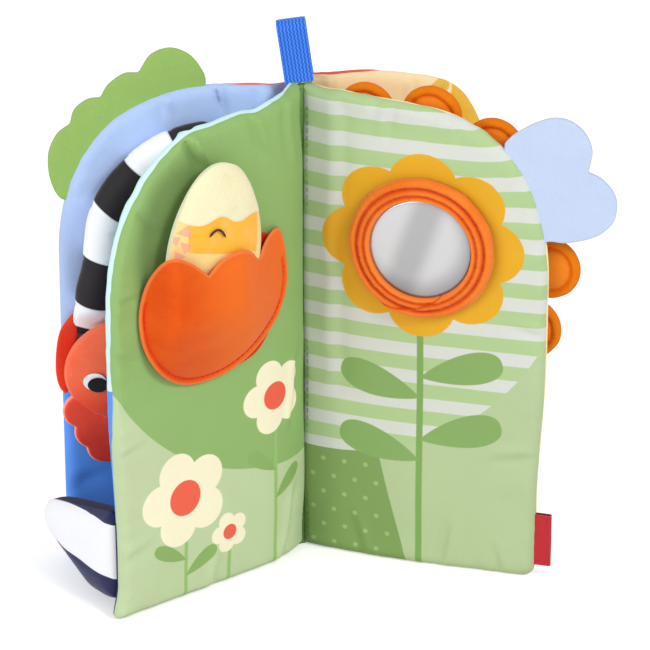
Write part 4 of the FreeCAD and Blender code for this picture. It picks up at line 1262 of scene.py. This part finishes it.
def ribbon_tag():
    """A red ribbon folded in two, its ends in the seam."""
    rows, fold, half = 24, 112.8, 0.95
    turn = np.linspace(math.pi / 2, -math.pi / 2, 9)[1:-1]
    leg = np.linspace(105.0, fold, 10)
    path = np.stack([np.concatenate([leg, fold + half * np.cos(turn), leg[::-1]]),
                     half * np.concatenate([leg * 0 + 1, np.sin(turn), leg * 0 - 1])], 1)
    way = unit(np.gradient(path, axis=0))
    out = np.stack([way[:, 1], -way[:, 0]], 1)
    z = np.linspace(6.3, 30.9, rows)[None]
    skins = []
    for lift in (0.28, -0.28):
        u, w = (path + out * lift).T[..., None]
        wave = noise(z, 0, 9, 541) * 0.35 * ease((u - 108) / 8)
        skins.append(RIGHT_PAGE.at(u, 3.3 + w + wave, z).reshape(-1, 3))
    count, last = len(skins[0]), len(path) - 1
    faces = [f[::-1] for f in grid_faces(len(path), rows)]
    faces += [[k + count for k in f[::-1]] for f in faces]
    rim = ([k * rows for k in range(last)] + [last * rows + j for j in range(rows - 1)]
           + [k * rows + rows - 1 for k in range(last, 0, -1)] + list(range(rows - 1, 0, -1)))
    faces += [(a, b, b + count, a + count) for a, b in zip(rim, rim[1:] + rim[:1])]
    cloth = Cloth("tag_ribbon", (186, 20, 34), rough=0.42, sheen=0.2, specular=0.4)
    cloth.bump(cloth.noise(0.5, 1.0, (1, 1, 6)), 0.2, 0.08)
    cloth.shade(cloth.noise(5.0, 2.0), 0.92, 1.05)
    piece("side_ribbon", np.concatenate(skins), faces, "root", cloth.done(),
          ["side_tag"], (), 0.1)


ribbon_tag()


def mane_petals():
    """Nine round padded petals behind the page, each with a stitched ring round its middle."""
    for k, (cu, cz) in enumerate(MANE):
        line = oval(1.1, 13.9, 13.9)
        at = np.arctan2(line[:, 1], line[:, 0])
        line = line * (1 + 0.012 * noise(at * 8, 0, 3.0, 560 + k))[:, None]
        pad = Pad(line, 1.25, (0.3, 0.7, 1.2, 2.0, 3.0, 3.5, 4.0, 4.5, 5.2))
        x, y = pad.xy.T
        edge, along = pad.edge, pad.along()
        groove = bell(edge, 4.0, 0.8)
        pucker = noise(along, 0, 2.6, 570 + k) * 0.35 * bell(edge, 4.0, 2.6)
        pucker = pucker + noise(along, 0, 3.1, 590 + k) * 0.2 * bell(edge, 0, 2.5)
        half = 2.55 * dome(edge, 2.6) - 1.15 * groove + 0.55 * ease((edge - 4.4) / 6) + pucker
        half = half + noise(x, y, 8, 580 + k) * 0.2 * ease(edge / 4)
        gap, half_thick = 0.9, 3.25
        middle = LEAF_THICK + gap + half_thick
        points, faces, zone = pad.closed(RIGHT_PAGE.at(cu + x, middle - half, cz + y),
                                         RIGHT_PAGE.at(cu + x, middle + half * 0.95, cz + y),
                                         np.stack([edge, groove, x], 1))
        cloth = velour("petal_velour_%d" % (k + 1), (224, 120, 14), (220, 106, 8), sheen=0.2)
        rim, line_mask, _ = cloth.attribute("petal")
        cloth.paint(rim.above(4.2, 0.3) * 0.6, (236, 138, 44))
        cloth.paint(line_mask * 0.7, (222, 92, 8))
        piece("petal_cloth_%d" % (k + 1), points, faces, "root", cloth.done(),
              ["mane_petal_%d" % (k + 1)], {"petal": zone}, 0.5)


mane_petals()


# ---------------- striped tube

def tube():
    """A stuffed tube: a leg up from the fish and a bend over towards the spine, sewn from white
    and black lengths. marks are its seams' places along it, after the first at its foot."""
    side, start, level, bend, radius = 89.0, 109.5, 150.0, 49.0, 7.4
    foot_mark, marks, last = 2.6, np.array([16.5, 37.5, 59.5, 82.0, 101.5]), 140.0
    leg = level - start
    reach = leg + bend * math.radians(91.5)
    steps, sides = 230, 44
    s = np.linspace(0, reach, steps)[:, None]
    turn = np.maximum(s - leg, 0) / bend
    u = np.where(s < leg, side, side - bend + bend * np.cos(turn))
    z = np.where(s < leg, start + s, level + bend * np.sin(turn))
    u = u + 4.4 * ease((151 - z) / 26) * (s < leg)
    ends = np.minimum(s * 3, reach - s)
    round_end = np.sqrt(1 - (1 - np.clip((ends + 0.25) / 5.5, 0, 1)) ** 2)
    flat = 0.26 + 0.74 * ease((s - 3) / 15)
    pinch = bell(s, marks, 1.3).sum(1, keepdims=True)
    c, d = circle(sides)
    size = radius * round_end * (1 - 0.06 * pinch) * (1 + 0.06 * ease((30 - s) / 20))
    uneven = noise(s, c * radius, 9, 601) + noise(s, d * radius, 8, 602)
    folds = np.maximum(-c, 0) * np.maximum(np.sin(s * 0.62 + 0.8), 0) ** 3 * ease((s - leg) / 6)
    size = size + (uneven * 0.28 - 0.75 * folds) * round_end
    points = FRONT_COVER.at(u + np.cos(turn) * c * size, -0.35 - (7.4 + d * size) * flat,
                            z + np.sin(turn) * c * size).reshape(-1, 3)
    faces = outward(points, tube_faces(steps, sides))
    points = inflated(points, faces, 1.5, 0.35, np.repeat(pinch > 0.5, sides))
    late = ease((s - 60) / 20)
    along = s - (2.6 * (1 - late) - 0.8 * late) * c
    zone = np.stack([column.ravel() for column in np.broadcast_arrays(along, c, d)], 1)
    cloth = Cloth("tube_knit", (249, 250, 254), rough=0.7, sheen=0.45, sheen_rough=0.3,
                  specular=0.3)
    along, _, _ = cloth.attribute("tube")
    black = [along.below(foot_mark)] + [along.above(first) * along.below(second)
                                        for first, second in zip(marks[::2], (*marks[1::2], last))]
    cloth.paint(functools.reduce(Value.either, black), (34, 30, 33))
    seams = [abs(along - mark).between(0.9, 0.1) for mark in (foot_mark, *marks)]
    cloth.shade(functools.reduce(Value.either, seams), 1.0, 0.78)
    cloth.shade(cloth.noise(12.0, 2.0), 0.95, 1.03)
    cloth.bump(cloth.noise(0.6, 2.0), 0.3, 0.12)
    cloth.bump(cloth.noise(4.0, 3.0), 0.35, 0.5)
    piece("tube_cloth", points, faces, "front_cover", cloth.done(),
          ["striped_tube_cover", "striped_tube_stuffing"], {"tube": zone}, 0.7)


tube()


# ---------------- fish

FISH_SIDE, FISH_LEVEL, FISH_DEPTH = 80.0, 94.5, 9.2
FISH_ACROSS, FISH_HIGH, FISH_THICK = 26.5, 23.5, 9.0
# How far the cloth run moves the body out at the eye.
FISH_SWELL = 0.4


def fish_swell(x, y):
    """Half the thickness of the fish's body at a place on it."""
    r = np.clip((x / FISH_ACROSS) ** 2 + (y / FISH_HIGH) ** 2, 0, 1)
    return FISH_THICK * (1 - r) ** 0.5


def on_fish(x, y, depth):
    """A point of the front cover from one on the fish, by its depth behind the middle."""
    return FRONT_COVER.at(FISH_SIDE - x, -FISH_DEPTH + depth, FISH_LEVEL + y)


def fish_body():
    """A stuffed round body with a seam round it."""
    pad = Pad(oval(0.9, FISH_ACROSS, FISH_HIGH), 1.15, (0.3, 0.7, 1.2, 1.8))
    x, y = pad.xy.T
    full, along = fish_swell(x, y), pad.along()
    pucker = noise(along, 0, 4.0, 611) * 0.4 * bell(pad.edge, 0, 3.5)
    soft = (noise(x, y, 12, 612) * 0.4 + noise(x, y, 5, 613) * 0.12) * ease(pad.edge / 4) + pucker
    points, faces, zone = pad.closed(on_fish(x, y, -full - soft), on_fish(x, y, full + 0.4 * soft),
                                     np.stack([pad.edge, x, y], 1))
    points = inflated(points, faces, 3.0, 0.5, np.arange(len(points)) < pad.rim)
    cloth = velour("fish_velour", (252, 114, 80), (248, 104, 68), sheen=0.4)
    edge, _, up = cloth.attribute("pad")
    cloth.paint(up.between(2, -18) * 0.8, (232, 64, 36))
    cloth.paint(edge.between(1.3, 0.4) * 0.6, (250, 128, 96))
    done = cloth.done()
    halves(points, faces, zone, "front_cover", 0.7,
           [("fish_front_cloth", "fish_cloth", done, ["fish_front", "fish_stuffing"]),
            ("fish_back_cloth", "fish_cloth", done, ["fish_back"])])


def fish_fins():
    """A scalloped fin below the body and a crescent fin behind it."""
    pad = Pad(union_line(0.9, [(-19.5, -18.0, 8.2), (-14.3, -28.0, 8.6), (-9.3, -35.7, 8.4),
                               (-1.0, -29.0, 12.0)]), 1.4, (0.3, 0.7, 1.2, 1.9, 2.6))
    edge = pad.edge
    half = (2.35 * dome(edge, 2.4) - 0.25 * bell(edge, 2.4, 0.7)
            + noise(*pad.xy.T, 7, 621) * 0.2 * ease(edge / 3))
    points, faces, zone = pad.cushion(on_fish, 0, half)
    cloth = velour("fin_velour", (252, 84, 62), (240, 70, 54), sheen=0.4)
    edge, _, up = cloth.attribute("pad")
    cloth.paint(up.between(-18, -36) * 0.6, (192, 46, 36))
    cloth.paint(edge.between(0.9, 0.2) * 0.75, (246, 190, 170))
    piece("fish_fin_cloth", points, faces, "front_cover", cloth.done(), ["fish_fin"],
          {"pad": zone}, 0.3)

    pad = Pad(smooth_line(0.9, [(-19.4, 24.6), (-21.2, 25.1), (-25.3, 20.4), (-27.6, 15.8),
                                (-29.0, 7.4), (-29.3, -2.0), (-28.0, -9.0), (-25.4, -13.0)],
                          [(-25.4, -13.0), (-21.8, -8.0), (-21.6, 0.0), (-20.4, 10.0),
                           (-19.0, 16.0), (-19.4, 24.6)]), 1.2, (0.3, 0.7, 1.1))
    half = 1.35 * dome(pad.edge, 1.5) + noise(*pad.xy.T, 5, 631) * 0.12 * ease(pad.edge / 1.5)
    points, faces, _ = pad.cushion(on_fish, 6.9, half)
    cloth = velour("back_fin_velour", (238, 66, 40), (222, 48, 30))
    piece("fish_back_fin_cloth", points, faces, "front_cover", cloth.done(),
          ["fish_back_fin"], (), 0.3)


def fish_eye(part, place, radius, low, high, color, fleck, seed):
    """A felt oval on the fish's side, from one height to another above its cloth."""
    pad = Pad(oval(0.5, *radius) + np.array(place), 1.0, (0.2, 0.45, 0.8))
    x, y = pad.xy.T
    base = fish_swell(x, y) + FISH_SWELL
    top = (base + low + (high - low) * (0.55 + 0.45 * dome(pad.edge, 0.8))
           + noise(x, y, 1.6, seed) * 0.04)
    points, faces = pad.closed(on_fish(x, y, -top), on_fish(x, y, -base - low))
    piece("eye_%s_felt" % part, points, faces, "front_cover",
          felt("eye_" + part, color, fleck).done(), ["fish_eye_" + part], (), 0.1)


fish_body()
fish_fins()
fish_eye("white", (-14.2, -1.3), (5.0, 4.2), 0.35, 1.0, (246, 246, 246),
         (255, 255, 255), 641)
fish_eye("pupil", (-13.1, -2.4), (4.4, 3.6), 1.05, 1.8, (26, 24, 26),
         (60, 58, 60), 642)


# ---------------- whale tail

def whale_tail():
    """A stuffed tail sewn to the back of the left page: a pale band between navy ones on its
    outer side, navy round the rest."""
    u = 108.0
    angle = LEFT_PAGE.angle(np.array(u))
    back = LEFT_PAGE.back(angle)
    inward = -np.array([math.cos(angle), math.sin(angle)])
    root = LEFT_PAGE.at(u, LEAF_THICK + 0.3, 0)[:2]

    def place(x, y, t):
        """A point by its reach back from the page, its height, and how far in from the edge."""
        return np.column_stack([root + x[:, None] * back + t[:, None] * inward, y])

    line = smooth_line(1.0, [(0.3, 7.5), (6, 6.1), (12, 5.9), (17.5, 6.1), (21.8, 7.4), (29, 11.0),
                             (37, 15.1), (44, 18.4), (49.6, 22.3), (52.2, 27.6), (51, 33.4),
                             (47.4, 37.1), (42.4, 39.1), (34, 41.2), (24, 43.6), (12, 46.4),
                             (3, 48.4), (0.3, 47.6)],
                       [(0.3, 47.6), (0.2, 36), (0.2, 20), (0.3, 7.5)])
    pad = Pad(line, 1.3, (0.3, 0.7, 1.2, 1.8))
    x, y = pad.xy.T
    edge = pad.edge
    low, high = 16.9 + 0.055 * x, 43.2 - 0.004 * (x - 10) ** 2
    seam = bell(y, low, 0.9) + bell(y, high, 0.9)
    bulge = 3.6 * dome(edge, 9.0) + noise(x, y, 12, 651) * 0.5 * ease(edge / 5)
    bulge = bulge - 0.55 * seam * ease(edge / 2)
    behind = 14.0 * dome(edge, 8.0) + noise(x, y, 10, 652) * 0.4 * ease(edge / 4)
    points, faces, zone = pad.closed(place(x, y, 3.4 - bulge), place(x, y, 3.4 + behind),
                                     np.stack([edge, x, y], 1))
    points = inflated(points, faces, 2.5, 0.4, np.arange(len(points)) < pad.rim)
    pale = Cloth("tail_plush", (246, 247, 252), rough=0.95, sheen=0.35, sheen_rough=0.5,
                 specular=0.1)
    _, across, up = pale.attribute("pad")
    lower = (up - (across * 0.055 + 16.9)).below(0.0, 0.2)
    bent = (across - 10.0) * (across - 10.0) * -0.004 + 43.2
    pale.paint(lower.either((up - bent).above(0.0, 0.2)), (40, 44, 84))
    pale.shade(pale.noise(0.9, 3.0), 0.93, 1.03)
    pale.bump(pale.noise(0.7, 3.0), 0.35, 0.2)
    pale.bump(pale.noise(5.0, 3.0), 0.3, 0.6)
    dark = solid_cloth("tail_navy", (26, 29, 60), rough=0.9, sheen=0.1)
    halves(points, faces, zone, "root", 0.7,
           [("tail_pale_cloth", "plush_white", pale.done(), ["tail_pale_panel", "tail_stuffing"]),
            ("tail_dark_cloth", "navy_cloth", dark.done(), ["tail_dark_panel"])])


whale_tail()


# ---------------- spine and hang loop

# The webbing of the hang loop.
LOOP_WIDE, LOOP_THICK = 12.5, 1.15


def weave(x, s, sine):
    """The webbing's wavy rows, from -1 to 1, at a place across and along it."""
    zigzag = abs((s / 2.2) % 1.0 - 0.5) * 2.0
    return sine((x / 1.5 + zigzag * 0.36) * math.tau)


def hang_loop():
    """Wavy-woven webbing folded over, its two legs on top of the spine, leaning left."""
    corner, level, bend, columns = np.array([-7.5, 5.06, 220.2]), 23.45, 3.9, 100
    lean = math.radians(8)
    along = np.array([math.cos(lean), 0, math.sin(lean)])
    across = np.array([0, 1, 0])
    up = np.array([-math.sin(lean), 0, math.cos(lean)])
    turn = np.linspace(0, math.pi, 40)[1:-1]
    leg = np.linspace(0.2, level, 60)
    out_y = np.concatenate([-np.ones(60), -np.cos(turn), np.ones(60)])[:, None]
    out_z = np.concatenate([np.zeros(60), np.sin(turn), np.zeros(60)])[:, None]
    z = np.concatenate([leg, level + bend * np.sin(turn), leg[::-1]])[:, None]
    squeeze = 1 - 0.22 * ease(z / 6) * ease((level + 3 - z) / 12)
    path = corner + along * LOOP_WIDE / 2 + out_y * bend * squeeze * across + z * up
    out = (out_y * across + out_z * up)[:, None]

    x, s = np.linspace(-LOOP_WIDE / 2, LOOP_WIDE / 2, columns), run(path)
    half = LOOP_THICK / 2 * (1 - 0.55 * np.abs(2 * x / LOOP_WIDE) ** 10)
    lift = 0.11 * weave(x[None], s[:, None], np.sin)
    spread = path[:, None] + x[None, :, None] * along
    points = np.concatenate([spread + out * (half + lift)[..., None],
                             spread[:, ::-1] - out * half[None, ::-1, None]], 1).reshape(-1, 3)
    faces = outward(points, tube_faces(len(path), columns * 2))
    place = np.stack([np.tile(np.concatenate([x, x[::-1]]), len(path)), np.repeat(s, columns * 2),
                      np.tile(np.repeat([1.0, -1.0], columns), len(path))], 1)
    cloth = Cloth("loop_webbing", (48, 116, 226), rough=0.7, sheen=0.3, specular=0.3)
    x, s, _ = cloth.attribute("band")
    wave = weave(x, s, Value.sine)
    cloth.paint(wave.between(0.1, -0.8) * 0.8, (22, 78, 176))
    # Painted highlight: the raised rows of the weave are painted lighter.
    cloth.paint(wave.between(0.35, 1.0) * 0.5, (92, 156, 246))
    cloth.bump((s * (math.tau / 0.7)).sine(), 0.25, 0.1)
    piece("loop_webbing", points, faces, "root", cloth.done(), ["hang_loop"],
          {"band": place}, 0.1)


hang_loop()


def block(name, corners, seed, cloth, part, fill):
    """An upright prism on a quadrilateral plan, with slightly uneven cloth sides."""
    sides, rows = 32, 150
    plan = np.array(corners)
    line = resample(np.concatenate([plan, plan[:1]]), np.arange(sides) / sides)
    z = np.linspace(0.2, LEAF_HEIGHT - 0.2, rows)[:, None]
    place = np.arange(sides) * 3
    wave = noise(z, place, 7, seed) * 0.16 + noise(z, 0, 4, seed + 1) * 0.1
    grid = line - unit(line - plan.mean(0)) * (0.28 + np.abs(wave))[..., None]
    points = np.concatenate([grid, np.repeat(z[..., None], sides, 1)], 2).reshape(-1, 3)
    piece(name, points, outward(points, tube_faces(rows, sides)), "root", cloth.done(),
          [part], (), fill)


def spine():
    """The bound seam allowances behind the gutter, a tape between the covers, and the lines of
    stitches beside the gutter."""
    corners = [leaf.at(u, w, 0)[:2] for leaf, u, w in
               ((LEFT_PAGE, 0.2, 1.6), (LEFT_PAGE, 1.2, 8.0), (RIGHT_PAGE, 1.2, 8.0),
                (RIGHT_PAGE, 0.2, 1.6))]
    block("spine_binding_cloth", corners, 701, solid_cloth("binding_cloth", (112, 152, 82)),
          "spine_binding", 0.3)
    x, y = (FRONT_COVER.at(0, 8.0, 0)[:2] + BACK_COVER.at(0, 8.0, 0)[:2]) / 2
    seat, half = 4.1, 0.75
    tape = [(x - half, seat), (x + half, seat), (x + half, y + 0.4), (x - half, y + 0.4)]
    block("spine_tape_cloth", tape, 711, solid_cloth("tape_cloth", (226, 104, 88)),
          "spine_tape", 0.1)
    for leaf, u in ((LEFT_PAGE, 2.0), (RIGHT_PAGE, 2.2)):
        cloth = solid_cloth("thread_green", (84, 122, 52), rough=0.6)
        stitches("gutter_stitches", leaf.at(u, -0.3, np.linspace(4, 217, 500)), leaf.outlook(u),
                 cloth.done(), dash=2.3, pitch=3.4)


spine()


# ---------------- camera, light and floor

def stage():
    """A pale floor that keeps the shadow and looks white to the camera."""
    half = 6000.0
    corners = [(-half, -half, 0), (half, -half, 0), (half, half, 0), (-half, half, 0)]
    material = bpy.data.materials.new("floor")
    material.use_nodes = True
    tree = material.node_tree
    shader = tree.nodes["Principled BSDF"].inputs
    shader["Base Color"].default_value = linear((244, 244, 244))
    shader["Roughness"].default_value = 0.9
    shader["Emission Color"].default_value = (1, 1, 1, 1)
    path = node(tree, "LightPath", {}).outputs
    glow = Value(tree, path["Is Camera Ray"]) * 0.38
    tree.links.new(glow.socket, shader["Emission Strength"])
    floor = piece("floor", corners, [(0, 1, 2, 3)], None, material)

    world = bpy.data.worlds.new("studio")
    bpy.context.scene.world = world
    world.use_nodes = True
    tree = world.node_tree
    background = tree.nodes["Background"].inputs
    background["Color"].default_value = (1, 1, 1, 1)
    path = node(tree, "LightPath", {}).outputs
    seen = Value(tree, path["Is Camera Ray"]).either(Value(tree, path["Is Glossy Ray"]))
    seen = seen.either(Value(tree, path["Is Transmission Ray"]))
    level = node(tree, "MapRange", {"Value": seen.socket, "To Min": 0.66, "To Max": 1.0})
    tree.links.new(level.outputs["Result"], background["Strength"])


def lamp(name, place, size, power):
    """A round area lamp that looks at the middle of the book."""
    light = bpy.data.lights.new(name, "AREA")
    light.shape, light.size, light.energy = "DISK", size, power
    obj = bpy.data.objects.new(name, light)
    bpy.context.scene.collection.objects.link(obj)
    obj.location = place
    aim = Vector((0, 0, 0.11)) - Vector(place)
    obj.rotation_euler = aim.to_track_quat("-Z", "Y").to_euler()


stage()
lamp("key", (0.75, -0.85, 1.05), 0.42, 7.5)
lamp("fill", (-1.0, -0.9, 0.6), 1.0, 6.6)
camera = bpy.data.objects.new("camera", bpy.data.cameras.new("camera"))
camera.data.lens = 213.85
camera.data.clip_end = 20.0
camera.location = (0.003449, -1.544544, 0.799867)
camera.rotation_euler = (math.radians(90 - 24.12), 0, math.radians(-0.2284))
bpy.context.scene.collection.objects.link(camera)
bpy.context.scene.camera = camera
bpy.context.scene.view_settings.view_transform = "Standard"
